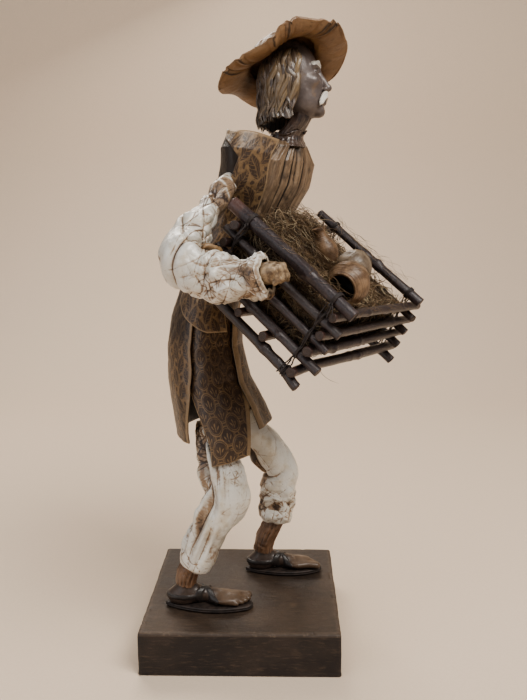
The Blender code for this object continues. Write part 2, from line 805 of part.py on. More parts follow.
def twig(name, start, end, radius, seed):
    """Straight twig, here and there thinner than its radius."""
    rng = np.random.default_rng(seed)
    t = np.linspace(0, 1, 4)
    path = np.outer(1 - t, start) + np.outer(t, end)
    radii = np.minimum(radius * (1 + 0.03 * rng.standard_normal(4)), radius)
    solid(name, rings_along(path, radii, 8), "bark")


def side_rails():
    for k, (tag, h, r, back, near_front, far_front) in enumerate(SIDE_RAILS):
        twig("rail_near_" + tag, in_crate(back, 0, h), in_crate(near_front, 0, h), r, 20 + k)
        far_r = min(r, FAR_MAX_R)
        far_h = h - (r - far_r)
        start = in_crate(max(back, FAR_BACK), WIDE[k], far_h)
        twig("rail_far_" + tag, start, in_crate(far_front, WIDE[k], far_h), far_r, 40 + k)


def end_rails():
    for k, (tag, h, r) in enumerate(END_RAILS):
        wide = (WIDE[k] + WIDE[k + 1]) / 2 + 3.0
        start = in_crate(FRONT_S, -3.4 - 0.3 * k, h)
        twig("rail_front_" + tag, start, in_crate(FRONT_S, wide + 4.6 - 0.4 * k, h), r, 60 + k)
        start = in_crate(BACK_S, -3.8, h)
        twig("rail_back_" + tag, start, in_crate(BACK_S, wide + 2.4, h), r, 70 + k)


def floor_slats():
    for k, s in enumerate(SLATS):
        start = in_crate(s, -3.2 - 0.5 * k, FLOOR)
        twig(f"slat_{k + 1}", start, in_crate(s, WIDE[-1] + 3.4, FLOOR), SLAT_R, 80 + k)


side_rails()
end_rails()
floor_slats()

CORD_R = 0.4
CORD_LEVELS = (-40.0, -34.0, -28.2, -22.0, -16.0, -10.0, -5.0)
WALL_DEPTHS = [-1.0, 9.3, 18.6, 28.2, 38.5]  # depths at which the far wall has the widths WIDE


def lashing(name, s, far):
    """A turn of cord round the top rail that runs on down the outside of the corner."""
    out = 1 if far else -1
    rail_w = WIDE[0] if far else 0.0
    rail_r = FAR_MAX_R if far else TOP_R
    rail_h = TOP_HEIGHT - (TOP_R - rail_r)
    turn_r = rail_r + GAP + CORD_R
    path = []
    for h in CORD_LEVELS:
        wall = float(np.interp(-h, WALL_DEPTHS, WIDE)) if far else 0.0
        path.append(in_crate(s + 0.4, wall + out * (2.4 + GAP + CORD_R + 0.5), h))
    for i, t in enumerate(around(11)):
        w = rail_w + out * turn_r * cos(t)
        path.append(in_crate(s - 0.12 * i, w, rail_h + turn_r * sin(t)))
    solid(name, rings_along(path, CORD_R, 5), "cord")


for side, far in (("near", False), ("far", True)):
    lashing("lashing_front_" + side, -8.4, far)
    lashing("lashing_back_" + side, -61.6, far)

# ------------------------------------------------------------------ pots
# Profiles: distance along the axis, radius; from the outside bottom round the lip to the
# inside bottom.
BOWL = [
    (-7.6, 0.0), (-7.6, 4.0), (-6.6, 6.4), (-4.0, 8.6), (-0.6, 9.7), (2.6, 9.4),
    (5.2, 7.9), (6.3, 7.0), (7.2, 7.2), (7.4, 6.6), (6.4, 6.0), (4.6, 6.6),
    (1.6, 7.9), (-1.4, 8.1), (-4.0, 6.9), (-5.8, 4.6), (-6.2, 0.0),
]
JUG = [
    (-8.4, 0.0), (-8.4, 2.8), (-7.4, 4.4), (-4.4, 5.6), (-1.2, 5.5), (1.8, 4.3),
    (4.2, 3.0), (6.4, 2.7), (8.0, 3.3), (8.4, 2.8), (6.8, 1.8), (4.4, 1.9),
    (2.0, 3.0), (-0.8, 4.2), (-4.0, 4.4), (-6.4, 3.2), (-7.0, 0.0),
]
ROUND = [
    (-7.4, 0.0), (-7.4, 3.4), (-6.4, 5.8), (-3.8, 7.9), (-0.4, 8.8), (2.8, 8.4),
    (5.4, 6.9), (6.6, 5.4), (7.6, 5.6), (7.8, 5.0), (6.8, 4.4), (4.8, 5.5),
    (1.8, 7.0), (-1.2, 7.2), (-3.8, 6.2), (-5.6, 4.0), (-6.0, 0.0),
]
# name, centre in the crate (s, w, h), axis in the scene, profile, room left round it in the straw
POTS = [
    ("pot_near", (-17.0, 22.8, 2.6), (-0.52, -0.80, -0.30), BOWL, 2.5),
    ("pot_far", (-28.6, 47.0, 1.0), (0.35, 0.30, -0.75), ROUND, 2.5),
    ("jug", (-41.0, 31.5, 4.6), (-0.32, -0.10, 0.94), JUG, 3.5),
]


def pot(name, centre, axis, profile, n=16):
    """Hollow turned vessel; the profile starts and ends on the axis."""
    axis = unit(axis)
    a = unit(np.cross(axis, (0.3, 0.2, 1.0)))
    b = np.cross(axis, a)
    verts = [centre + axis * profile[0][0]]
    for d, r in profile[1:-1]:
        verts += list(ellipse(centre + axis * d, a * r, b * r, n))
    end = len(verts)
    verts.append(centre + axis * profile[-1][0])
    faces = []
    for i in range(n):
        faces.append((0, 1 + i, 1 + (i + 1) % n))
    for k in range(len(profile) - 3):
        add_bridge(faces, 1 + k * n, 1 + (k + 1) * n, n)
    for i in range(n):
        faces.append((end - n + i, end - n + (i + 1) % n, end))
    mesh_object(name, verts, faces, "pot", origin=centre)


for name, place, axis, profile, _ in POTS:
    pot(name, in_crate(*place), vec(*axis), profile)

# ------------------------------------------------------------------ straw nest
# A mound with a thin top and side skirts, hollow below and open between the floor slats. Each
# pot sits in a dip wide enough to lift straight out along the crate's own upward direction.
NEST_BACK, NEST_FRONT = -63.2, -7.4
NEST_NEAR, NEST_FAR = 4.0, WIDE[0] - 3.6
NEST_ROWS, NEST_COLS = 17, 23
NEST_LOW = -30.2
NEST_RIM = -9.0  # greatest height at the outer edge
NEST_THICK = 5.0
DIP_DEPTH = 12.5  # below a pot's centre


def straw_height(s, w):
    """Height of the straw's top before the dips are pressed in."""
    mound = 13.0 * math.exp(-(((s + 56) / 21) ** 2) - ((w - 30) / 30) ** 2)
    ripple = 0.8 * sin(s * 0.55 + 1.3 * sin(w * 0.21)) + 0.6 * sin(w * 0.5 + s * 0.13)
    return -7.0 + mound + ripple


def dip_limit(s, w):
    """Height the straw may not pass, under each pot."""
    limit = math.inf
    for _, (pot_s, pot_w, pot_h), _, profile, room in POTS:
        if math.hypot(s - pot_s, w - pot_w) < max(r for _, r in profile) + room:
            limit = min(limit, pot_h - DIP_DEPTH)
    return limit


def straw_nest():
    top, low = [], []
    for i, s in enumerate(np.linspace(NEST_BACK, NEST_FRONT, NEST_ROWS)):
        top_row, low_row = [], []
        for j, w in enumerate(np.linspace(NEST_NEAR, NEST_FAR, NEST_COLS)):
            rim = min(i, NEST_ROWS - 1 - i, j, NEST_COLS - 1 - j)
            h = min(straw_height(s, w), dip_limit(s, w))
            if rim == 0:
                h = min(h, NEST_RIM)
            top_row.append(in_crate(s, w, h))
            # The underside follows the top, but the two outermost rows drop to the slats.
            under = NEST_LOW if rim <= 1 else max(NEST_LOW, h - NEST_THICK)
            low_row.append(in_crate(s, w, under))
        top.append(top_row)
        low.append(low_row)
    panel("straw_nest", top, low, "straw")


straw_nest()

# ------------------------------------------------------------------ sleeves and hands
# centre line from shoulder to wrist, and half-axes of the section
SLEEVE_RIGHT = [
    (-2.6, -21.5, 239.5), (-11.4, -37.0, 226.5), (-17.0, -48.5, 215.0), (-19.4, -56.5, 204.0),
    (-12.0, -61.5, 197.0), (1.2, -67.5, 195.8), (9.5, -72.5, 197.6), (15.5, -76.0, 199.4),
]
SLEEVE_RIGHT_RADII = [
    (5.2, 5.4), (8.7, 8.6), (10.3, 9.6), (10.7, 10.0),
    (10.6, 10.0), (10.0, 9.6), (9.4, 9.0), (7.8, 7.6),
]
SLEEVE_LEFT = [
    (22.0, 49.0, 240.0), (17.0, 54.5, 229.0), (13.0, 59.5, 216.0),
    (17.0, 60.0, 205.5), (26.5, 52.5, 207.0), (34.5, 42.0, 214.5),
]
SLEEVE_LEFT_RADII = [(5.6, 5.8), (7.8, 7.6), (8.6, 8.2), (8.6, 8.2), (7.6, 7.2), (6.2, 6.0)]
crumpled_tube("sleeve_right", SLEEVE_RIGHT, SLEEVE_RIGHT_RADII, steps=10, seed=5)
crumpled_tube("sleeve_left", SLEEVE_LEFT, SLEEVE_LEFT_RADII, steps=9, seed=6)

# centre line from wrist to fingertips, and half-axes of the section
HAND_RIGHT = [(4.0, -69.0, 196.2), (10.0, -72.8, 197.8), (17.5, -77.5, 200.0), (23.0, -80.6, 202.0)]
HAND_RIGHT_RADII = [(3.4, 3.4), (4.6, 4.4), (5.2, 4.8), (2.2, 2.2)]
HAND_LEFT = [(28.0, 49.0, 208.0), (33.0, 43.0, 212.8), (37.0, 38.0, 217.4), (39.5, 35.0, 220.6)]
HAND_LEFT_RADII = [(3.0, 3.0), (3.6, 3.6), (3.8, 3.8), (2.0, 2.0)]


def hand(side, points, radii):
    rings = rings_along(smooth_path(points, 9), spread(radii, 9), 12)
    solid("hand_" + side, rings, "skin")


hand("right", HAND_RIGHT, HAND_RIGHT_RADII)
hand("left", HAND_LEFT, HAND_LEFT_RADII)
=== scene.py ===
"""Looks of a paper vendor figurine that stands on a wooden block, wears a hat and holds a
crate of pots packed in straw.

Z is up, and the block stands on z = 0, centred on the z axis. The figure looks towards +x,
its right side is at -y, and the camera looks from -y. "Near" pieces are on the -y side and
"far" pieces on the +y side. Lengths are millimetres; meshes are written in metres.
"""

import bpy
import numpy as np
from numpy import clip, cos, exp, linspace, maximum, minimum, pi, radians, sin
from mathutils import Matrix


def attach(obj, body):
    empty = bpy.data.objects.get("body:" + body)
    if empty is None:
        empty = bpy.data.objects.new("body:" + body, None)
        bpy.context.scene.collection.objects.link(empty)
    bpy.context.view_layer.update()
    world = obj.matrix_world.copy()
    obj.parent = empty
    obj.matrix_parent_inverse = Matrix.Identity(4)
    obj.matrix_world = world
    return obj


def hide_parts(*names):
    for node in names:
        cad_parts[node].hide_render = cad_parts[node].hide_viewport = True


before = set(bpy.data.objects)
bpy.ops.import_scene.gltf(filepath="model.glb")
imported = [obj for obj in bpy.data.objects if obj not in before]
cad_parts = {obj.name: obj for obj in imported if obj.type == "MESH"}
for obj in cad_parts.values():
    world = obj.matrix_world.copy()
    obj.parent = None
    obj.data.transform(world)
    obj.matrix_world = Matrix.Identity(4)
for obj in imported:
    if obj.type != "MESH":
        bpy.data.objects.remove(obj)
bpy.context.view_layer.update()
MM = 0.001
TURN = 2 * pi
TO_VIEWER = np.array([0.0, -1.0, 0.12]) / np.linalg.norm([0.0, -1.0, 0.12])


# ------------------------------------------------------------------ vectors and curves
def vec(*values):
    return np.array(values, float)


def stack(*parts):
    return np.stack(parts, axis=-1)


def grid(down, across):
    return np.meshgrid(down, across, indexing="ij")


def circle(count):
    return linspace(0, TURN, count, endpoint=False)


def unit(v):
    v = np.asarray(v, float)
    return v / np.linalg.norm(v, axis=-1, keepdims=True)


def rise(low, high, x):
    """Smooth step from 0 at low to 1 at high; with low > high it falls."""
    x = clip((x - low) / (high - low), 0, 1)
    return x * x * (3 - 2 * x)


def bell(x, centre, width):
    return exp(-(((x - centre) / width) ** 2))


def tent(x, width):
    return maximum(0, 1 - np.abs(x) / width)


def zigzag(x):
    """Triangle wave, -1 .. 1, of period 1."""
    return np.abs(x - np.floor(x) - 0.5) * 4 - 1


def angle_gap(a, b):
    return (a - b + pi) % TURN - pi


def near(angle, centre, width):
    """Bell over an angle."""
    return bell(angle_gap(angle, centre), 0, width)


def smooth_path(points, count):
    """count rows along a Catmull-Rom curve through the given rows."""
    rows = np.asarray(points, float)
    padded = np.vstack([2 * rows[0] - rows[1], rows, 2 * rows[-1] - rows[-2]])
    t = linspace(0, len(rows) - 1, count)
    i = minimum(t.astype(int), len(rows) - 2)
    u = (t - i)[:, None]
    a, b, c, d = padded[i], padded[i + 1], padded[i + 2], padded[i + 3]
    return 0.5 * (2 * b + (c - a) * u + (2 * a - 5 * b + 4 * c - d) * u * u
                  + (3 * b - a - 3 * c + d) * u**3)


def arc_lengths(path):
    steps = np.linalg.norm(np.diff(path, axis=0), axis=1)
    return np.concatenate([[0], np.cumsum(steps)])


def frames_along(path, up=(0, 0, 1)):
    """Tangent and two cross directions at each point, without twist."""
    tangents = unit(np.gradient(path, axis=0))
    side = np.cross(tangents[0], up)
    if np.linalg.norm(side) < 0.2:
        side = np.cross(tangents[0], (0, 1, 0))
    side = unit(side)
    sides, overs = [], []
    for tangent in tangents:
        side = unit(side - tangent * side.dot(tangent))
        sides.append(side)
        overs.append(np.cross(side, tangent))
    return tangents, np.array(sides), np.array(overs)


def ring_points(path, side, over, wide, high):
    """Rings round a path, shifted by wide along side and by high along over."""
    return (path[..., None, :] + side[..., None, :] * wide[..., None]
            + over[..., None, :] * high[..., None])


def placed(local, origin, *axes):
    return origin + np.asarray(local) @ np.array(axes)


# ------------------------------------------------------------------ noise
def cell_hash(cell, seed):
    """A fixed random number, 0 .. 1, for each whole-numbered cell."""
    x, y, z = np.moveaxis(cell, -1, 0)
    bits = (x * 374761393 + y * 668265263 + z * 2147483647 + seed * 1274126177) & 0xFFFFFFFF
    for shift, factor in ((13, 1274126177), (16, 2246822519)):
        bits = ((bits ^ (bits >> shift)) * factor) & 0xFFFFFFFF
    return ((bits ^ (bits >> 15)) & 0xFFFFFF) / float(0xFFFFFF)


def vnoise(points, size, seed):
    """Smooth value noise, -1 .. 1, with cells of the given size."""
    scaled = np.asarray(points, float) / size
    cell = np.floor(scaled).astype(np.int64)
    part = scaled - cell
    x, y, z = np.moveaxis(part * part * part * (part * (part * 6 - 15) + 10), -1, 0)

    def layer(up):
        def corner(a, b):
            return cell_hash(cell + (a, b, up), seed)

        low = corner(0, 0) * (1 - x) + corner(1, 0) * x
        high = corner(0, 1) * (1 - x) + corner(1, 1) * x
        return low * (1 - y) + high * y

    return (layer(0) * (1 - z) + layer(1) * z) * 2 - 1


def fbm(points, size, seed):
    """Three octaves of value noise, -1 .. 1."""
    total = 0.0
    for k in range(3):
        total = total + 0.5**k * vnoise(points, size / 2**k, seed + 17 * k)
    return total / 1.75


def warped(points, size, reach, amount, seed):
    shift = stack(*[vnoise(points, size * reach, seed + 900 + k) for k in range(3)])
    return points + shift * size * amount


def crumple(points, size, seed):
    """Height of tilted flat cells with grooves between them, about -1 .. 1."""
    scaled = warped(np.asarray(points, float), size, 1.7, 0.35, seed) / size
    cell = np.floor(scaled).astype(np.int64)
    nearest = np.full(scaled.shape[:-1], 1e9)
    second = nearest.copy()
    height = np.zeros(scaled.shape[:-1])
    for offset in np.ndindex(3, 3, 3):
        there = cell + offset - 1
        jitter = stack(*[cell_hash(there, seed + k) for k in range(3)])
        tilt = stack(*[cell_hash(there, seed + k) for k in (3, 4, 5)]) - 0.5
        gap = there + jitter - scaled
        distance = np.sqrt((gap * gap).sum(-1))
        nearer = distance < nearest
        second = np.where(nearer, nearest, minimum(second, distance))
        height = np.where(nearer, -(gap * tilt).sum(-1) * 2.0, height)
        nearest = np.where(nearer, distance, nearest)
    edge = second - nearest  # 0 on the grooves
    return height * clip(edge * 3.0, 0, 1) - clip(1 - edge * 2.2, 0, 1) * 0.55 + 0.15


def creased(points, size, seed, warp=0.45):
    """Flat facets that meet in sharp ridges and valleys.

    Returns the height, about -1 .. 1, and a measure that is 0 on the creases.
    """
    points = np.asarray(points, float)
    turned = np.linalg.qr(np.random.default_rng(seed + 77).normal(size=(3, 3)))[0]
    scaled = (warped(points, size, 1.9, warp, seed) @ turned) / size + 31.0
    cell = np.floor(scaled).astype(np.int64)
    part = scaled - cell
    order = np.argsort(-part, axis=-1)
    ranked = np.take_along_axis(part, order, axis=-1)
    # weights of the four corners of the tetrahedron the point lies in
    first, mid, last = np.moveaxis(ranked, -1, 0)
    weights = (first - mid, mid - last, last)
    height = (cell_hash(cell, seed) * 2 - 1) * (1 - first)
    for k in range(3):
        axis = order[..., k:k + 1]
        np.put_along_axis(cell, axis, np.take_along_axis(cell, axis, -1) + 1, -1)
        height = height + (cell_hash(cell, seed) * 2 - 1) * weights[k]
    edge = minimum(minimum(weights[0], weights[1]), minimum(last, 1 - first))
    return height, edge


def facets(points, *kinds):
    """Crease heights for several (size, seed[, warp])."""
    return [creased(points, *kind)[0] for kind in kinds]


def folds(points, directions, size, seed):
    """Mean of triangle waves along a few directions: long straight folds."""
    rng = np.random.default_rng(seed)
    total = 0.0
    for direction in directions:
        phase = rng.uniform(0, 1)
        along = points @ unit(direction) / size + phase
        total = total + zigzag(along + 0.25 * vnoise(points, size * 2.2, seed + 5))
        size *= 0.83
    return total / len(directions)


# ------------------------------------------------------------------ meshes
def make(name, verts, faces, material, slot, replaces=None, attrs=None, body="figure"):
    """A smooth mesh piece from millimetre points and groups of equal-sided faces."""
    mesh = bpy.data.meshes.new(name)
    mesh.vertices.add(len(verts))
    mesh.vertices.foreach_set("co", (np.asarray(verts) * MM).astype(np.float32).ravel())
    loops = np.concatenate([group.ravel() for group in faces])
    counts = np.concatenate([np.full(len(group), group.shape[1]) for group in faces])
    starts = np.concatenate([[0], np.cumsum(counts)[:-1]])
    mesh.loops.add(len(loops))
    mesh.loops.foreach_set("vertex_index", loops.astype(np.int32))
    mesh.polygons.add(len(counts))
    mesh.polygons.foreach_set("loop_start", starts.astype(np.int32))
    mesh.update(calc_edges=True)
    mesh.validate()
    mesh.shade_smooth()
    for key, values in (attrs or {}).items():
        layer = mesh.attributes.new(key, "FLOAT", "POINT")
        layer.data.foreach_set("value", np.asarray(values, np.float32))
    ob = bpy.data.objects.new(name, mesh)
    bpy.context.scene.collection.objects.link(ob)
    mesh.materials.append(material)
    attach(ob, body)
    if replaces:
        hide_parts(replaces)


def grid_faces(rows, cols, wrap=False, base=0, flip=False):
    """Quads of a rows x cols grid of points; wrap closes the columns."""
    i = np.arange(rows - 1)[:, None]
    j = np.arange(cols if wrap else cols - 1)[None, :]
    k = (j + 1) % cols
    corners = (i * cols + j, i * cols + k, (i + 1) * cols + k, (i + 1) * cols + j)
    faces = stack(*corners).reshape(-1, 4) + base
    return faces[:, ::-1] if flip else faces


def outward(verts, faces):
    """Turns all faces round if the closed mesh has a negative volume."""
    verts = verts - verts.mean(axis=0)
    volume = 0.0
    for group in faces:
        for k in range(1, group.shape[1] - 1):
            corner = [verts[group[:, i]] for i in (0, k, k + 1)]
            volume += np.einsum("ij,ij->", corner[0], np.cross(corner[1], corner[2]))
    return [group[:, ::-1] for group in faces] if volume < 0 else faces


def grid_normals(points, wrap=False):
    down = np.gradient(points, axis=0)
    if wrap:
        across = (np.roll(points, -1, axis=1) - np.roll(points, 1, axis=1)) / 2
    else:
        across = np.gradient(points, axis=1)
    normals = np.cross(down, across)
    return normals / maximum(np.linalg.norm(normals, axis=-1, keepdims=True), 1e-9)


def normals_from(points, centre, wrap=True):
    """Grid normals that point away from a centre on the whole."""
    normals = grid_normals(points, wrap)
    inward = np.einsum("ijk,ijk->ij", normals, points - centre).mean() < 0
    return -normals if inward else normals


def blur_rows(values):
    out = values.copy()
    out[1:-1] = (values[:-2] + 2 * values[1:-1] + values[2:]) / 4
    return out


def blur(values, rounds, wrap=False):
    """Repeated 3-point blur of a grid."""
    for _ in range(rounds):
        if wrap:
            values = (np.roll(values, 1, 1) + 2 * values + np.roll(values, -1, 1)) / 4
        else:
            values = blur_rows(values.swapaxes(0, 1)).swapaxes(0, 1)
        values = blur_rows(values)
    return values


def cavity(points, wrap, coarse):
    """Depth in a hollow (+) or on a ridge (-) after 3 and after coarse blur rounds."""
    normals = normals_from(points, points.reshape(-1, 3).mean(axis=0), wrap)
    return [np.einsum("ijk,ijk->ij", blur(points, k, wrap) - points, normals)
            for k in (3, coarse)]


def rim_ring(rows, cols):
    """Points round the edge of a grid, and the point after each."""
    ring = np.concatenate([
        np.arange(cols),
        np.arange(1, rows) * cols + cols - 1,
        (rows - 1) * cols + np.arange(cols - 2, -1, -1),
        np.arange(rows - 2, 0, -1) * cols,
    ])
    return ring, np.roll(ring, -1)


def sheet_faces(rows, cols):
    """A front grid, the same grid as its back, and the edge between them."""
    count = rows * cols
    rim, after = rim_ring(rows, cols)
    return [grid_faces(rows, cols), grid_faces(rows, cols, base=count, flip=True),
            stack(after, rim, count + rim, count + after)]


def tube_faces(rows, cols):
    """An outer wall, an inner wall, and the two ends between them."""
    count = rows * cols
    j = np.arange(cols)
    k = (j + 1) % cols
    end = count - cols
    return [grid_faces(rows, cols, True), grid_faces(rows, cols, True, count, True),
            stack(k, j, count + j, count + k),
            stack(end + j, end + k, count + end + k, count + end + j)]


def shell(name, outer, thickness, attrs, wrap=False, **options):
    """A closed wall of paper: outer is its outside, wrapped in its columns for a tube."""
    rows, cols = outer.shape[:2]
    if wrap:
        normals = normals_from(outer, outer.mean(axis=1, keepdims=True))
        faces = tube_faces(rows, cols)
    else:
        normals = -grid_normals(outer)
        faces = sheet_faces(rows, cols)
    inner = outer - unit(blur(normals, 2, wrap)) * thickness
    verts = np.concatenate([outer.reshape(-1, 3), inner.reshape(-1, 3)])
    both = {key: np.tile(values.ravel(), 2) for key, values in attrs.items()}
    both["inside"] = np.repeat([0.0, 1.0], rows * cols)
    make(name, verts, outward(verts, faces), attrs=both, **options)


def closed_tube(rings):
    """Verts and faces of rings with both ends closed by a fan."""
    rows, cols = rings.shape[:2]
    ends = [rings[0].mean(axis=0)[None], rings[-1].mean(axis=0)[None]]
    verts = np.concatenate([rings.reshape(-1, 3)] + ends)
    j = np.arange(cols)
    k = (j + 1) % cols
    count = rows * cols
    last = count - cols
    fans = np.concatenate([stack(k, j, np.full(cols, count)),
                           stack(last + j, last + k, np.full(cols, count + 1))])
    return verts, outward(verts, [grid_faces(rows, cols, True), fans])


def capped(values, first=0, last=0):
    """Values of a closed tube's rings, with those of its two end points."""
    return np.append(values.ravel(), [first, last])


def join(parts):
    """Joins (verts, faces[, attrs]) parts into one, its quads before its triangles."""
    sides = {4: [], 3: []}
    base = 0
    for part in parts:
        for group in part[1]:
            sides[group.shape[1]].append(group + base)
        base += len(part[0])
    verts = np.concatenate([part[0] for part in parts])
    faces = [np.concatenate(groups) for groups in sides.values() if groups]
    keys = parts[0][2] if len(parts[0]) > 2 else ()
    return verts, faces, {key: np.concatenate([p[2][key] for p in parts]) for key in keys}


# ------------------------------------------------------------------ distance fields
def surface_nets(field, origin, step):
    """Verts and quads of the zero level of a grid of distances, negative inside."""
    inside = field < 0
    count = np.zeros(np.array(field.shape) - 1, int)
    for corner in np.ndindex(2, 2, 2):
        count += inside[tuple(slice(k, k + n) for k, n in zip(corner, count.shape))]
    active = (count > 0) & (count < 8)
    cells = np.argwhere(active)
    index = np.full(active.shape, -1)
    index[active] = np.arange(len(cells))
    # each vertex is the mean of the crossings on its cell's edges
    total = np.zeros((len(cells), 3))
    crossings = np.zeros(len(cells))
    for axis in range(3):
        for u, w in np.ndindex(2, 2):
            start = np.zeros(3, int)
            start[(axis + 1) % 3], start[(axis + 2) % 3] = u, w
            end = start.copy()
            end[axis] = 1
            before = field[tuple((cells + start).T)]
            after = field[tuple((cells + end).T)]
            cross = (before < 0) != (after < 0)
            part = before / np.where(before - after == 0, 1, before - after)
            total[cross] += (cells + start + part[:, None] * (end - start))[cross]
            crossings[cross] += 1
    quads = []
    for axis in range(3):
        low = [slice(1, -1)] * 3
        high = list(low)
        low[axis], high[axis] = slice(0, -1), slice(1, None)
        before, after = inside[tuple(low)], inside[tuple(high)]
        for leaving in (True, False):
            edges = np.argwhere(before & ~after if leaving else ~before & after)
            corners = []
            for u, w in ((0, 0), (1, 0), (1, 1), (0, 1)):
                cell = edges.copy()
                cell[:, (axis + 1) % 3] += 1 - u
                cell[:, (axis + 2) % 3] += 1 - w
                corners.append(index[tuple(cell.T)])
            quad = stack(*corners)
            quads.append(quad if leaving else quad[:, ::-1])
    return np.asarray(origin) + total / crossings[:, None] * step, np.concatenate(quads)


def smin(a, b, blend):
    """Smooth union of two distances."""
    h = clip(0.5 + 0.5 * (b - a) / blend, 0, 1)
    return b * (1 - h) + a * h - blend * h * (1 - h)


def smax(a, b, blend):
    return -smin(-a, -b, blend)


def ell(p, centre, radii):
    """Rough distance to an ellipsoid."""
    offset = p - np.asarray(centre, float)
    radii = np.asarray(radii, float)
    scaled = np.linalg.norm(offset / radii, axis=-1)
    slope = np.linalg.norm(offset / (radii * radii), axis=-1)
    return scaled * (scaled - 1) / maximum(slope, 1e-6)


def ball(p, centre, radius):
    return np.linalg.norm(p - np.asarray(centre), axis=-1) - radius


def cap(p, start, end, radius, end_radius=None):
    """Distance to a rounded cone."""
    start = np.asarray(start, float)
    end_radius = radius if end_radius is None else end_radius
    run = np.asarray(end, float) - start
    t = clip(((p - start) @ run) / (run @ run), 0, 1)
    gap = np.linalg.norm(p - start - t[..., None] * run, axis=-1)
    return gap - (radius + (end_radius - radius) * t)


def sdf_mesh(distance, low, high, step):
    low, high = np.asarray(low, float), np.asarray(high, float)
    counts = np.ceil((high - low) / step).astype(int) + 1
    axes = [low[k] + step * np.arange(counts[k]) for k in range(3)]
    return surface_nets(distance(stack(*np.meshgrid(*axes, indexing="ij"))), low, step)


def vertex_cavity(verts, quads, rounds):
    """Hollow (+) or ridge (-) per vertex of a quad mesh, and the vertex normals."""
    count = len(verts)
    edges = np.concatenate([quads[:, [k, (k + 1) % 4]] for k in range(4)])
    degree = np.bincount(edges.ravel(), minlength=count)[:, None]
    face_normals = np.cross(verts[quads[:, 2]] - verts[quads[:, 0]],
                            verts[quads[:, 3]] - verts[quads[:, 1]])
    normals = np.zeros((count, 3))
    for k in range(4):
        np.add.at(normals, quads[:, k], face_normals)
    normals = unit(normals + 1e-12)
    smooth = verts.copy()
    for _ in range(rounds):
        total = np.zeros((count, 3))
        np.add.at(total, edges[:, 0], smooth[edges[:, 1]])
        np.add.at(total, edges[:, 1], smooth[edges[:, 0]])
        smooth = 0.5 * smooth + 0.5 * total / maximum(degree, 1)
    return np.einsum("ij,ij->i", smooth - verts, normals), normals


# ------------------------------------------------------------------ shader nodes
class Current:
    """The material being built: its node tree and its shared position."""

    tree = None
    position = None


class Value:
    """An output socket that takes part in arithmetic."""

    def __init__(self, socket):
        self.socket = socket

    def __add__(self, other):
        return calc("ADD", self, other)

    __radd__ = __add__

    def __sub__(self, other):
        return calc("SUBTRACT", self, other)

    def __rsub__(self, other):
        return calc("SUBTRACT", other, self)

    def __mul__(self, other):
        return calc("MULTIPLY", self, other)

    def __truediv__(self, other):
        return calc("DIVIDE", self, other)


def fill(shader, inputs):
    """Links or sets inputs by name or number; None leaves one alone."""
    for key, value in inputs.items():
        socket = shader.inputs[key]
        if isinstance(value, Value):
            Current.tree.links.new(value.socket, socket)
        elif isinstance(value, tuple) and socket.type == "RGBA":
            socket.default_value = (*value, 1.0)
        elif value is not None:
            socket.default_value = value


def node(kind, inputs=None, output=0, **settings):
    shader = Current.tree.nodes.new("ShaderNode" + kind)
    for key, value in settings.items():
        setattr(shader, key, value)
    fill(shader, inputs or {})
    return Value(shader.outputs[output])


def calc(operation, a, b=0.0, clamped=False):
    return node("Math", {0: a, 1: b}, operation=operation, use_clamp=clamped)


def clamp(x):
    return calc("ADD", x, 0.0, clamped=True)


def larger(a, b):
    return calc("MAXIMUM", a, b)


def size_of(x):
    return calc("ABSOLUTE", x)


def root(x):
    return calc("SQRT", x)


def attr(name):
    return node("Attribute", output="Fac", attribute_name=name)


def position():
    """Object coordinates in millimetres."""
    if Current.position is None:
        metres = node("TexCoord", output="Object")
        Current.position = node("VectorMath", {0: metres, "Scale": 1000.0}, operation="SCALE")
    return Current.position


def vector(x, y, z=0.0):
    return node("CombineXYZ", {0: x, 1: y, 2: z})


def stretch(*factors):
    return node("VectorMath", {0: position(), 1: factors}, operation="MULTIPLY")


def noise(size, at=None, detail=4.0, rough=0.55, dist=0.0):
    """Noise, about 0 .. 1, whose features are about size millimetres."""
    return node("TexNoise", {"Vector": at or position(), "Scale": 1.0 / size,
                             "Detail": detail, "Roughness": rough, "Distortion": dist})


def cells(size, at=None):
    return node("TexVoronoi", {"Vector": at or position(), "Scale": 1.0 / size}, "Distance")


def sway(x, amount):
    """A 0 .. 1 value turned into a shift round zero."""
    return (x - 0.5) * amount


def ramp(low, high, x):
    """Smooth step from 0 at low to 1 at high; with low > high it falls."""
    ends = {"From Min": min(low, high), "From Max": max(low, high)}
    ends["To Min"] = 1.0 if low > high else 0.0
    ends["To Max"] = 0.0 if low > high else 1.0
    return node("MapRange", {"Value": x, **ends}, "Result", interpolation_type="SMOOTHSTEP")


def mix(amount, below, above):
    """The colour below, covered by the colour above by amount."""
    return node("Mix", {0: amount, 6: below, 7: above}, 2, data_type="RGBA")


def shade(colour, factor):
    return tuple(min(1.0, c * factor) for c in colour)


def bumps(*layers):
    """Normal from layers of (height 0 .. 1, depth in millimetres)."""
    normal = None
    for height, depth in layers:
        inputs = {"Distance": depth * MM, "Height": height, "Normal": normal}
        normal = node("Bump", inputs)
    return normal


def surface(colour, rough, normal=None, metallic=0.0, coat=0.0, coat_rough=0.2, spec=0.5):
    fill(Current.tree.nodes["Principled BSDF"], {
        "Base Color": colour, "Roughness": rough, "Metallic": metallic, "Coat Weight": coat,
        "Coat Roughness": coat_rough, "Specular IOR Level": spec, "Normal": normal})


def material(name, paint, *values, **named):
    made = bpy.data.materials.new(name)
    made.use_nodes = True
    Current.tree = made.node_tree
    Current.position = None
    paint(*values, **named)
    return made


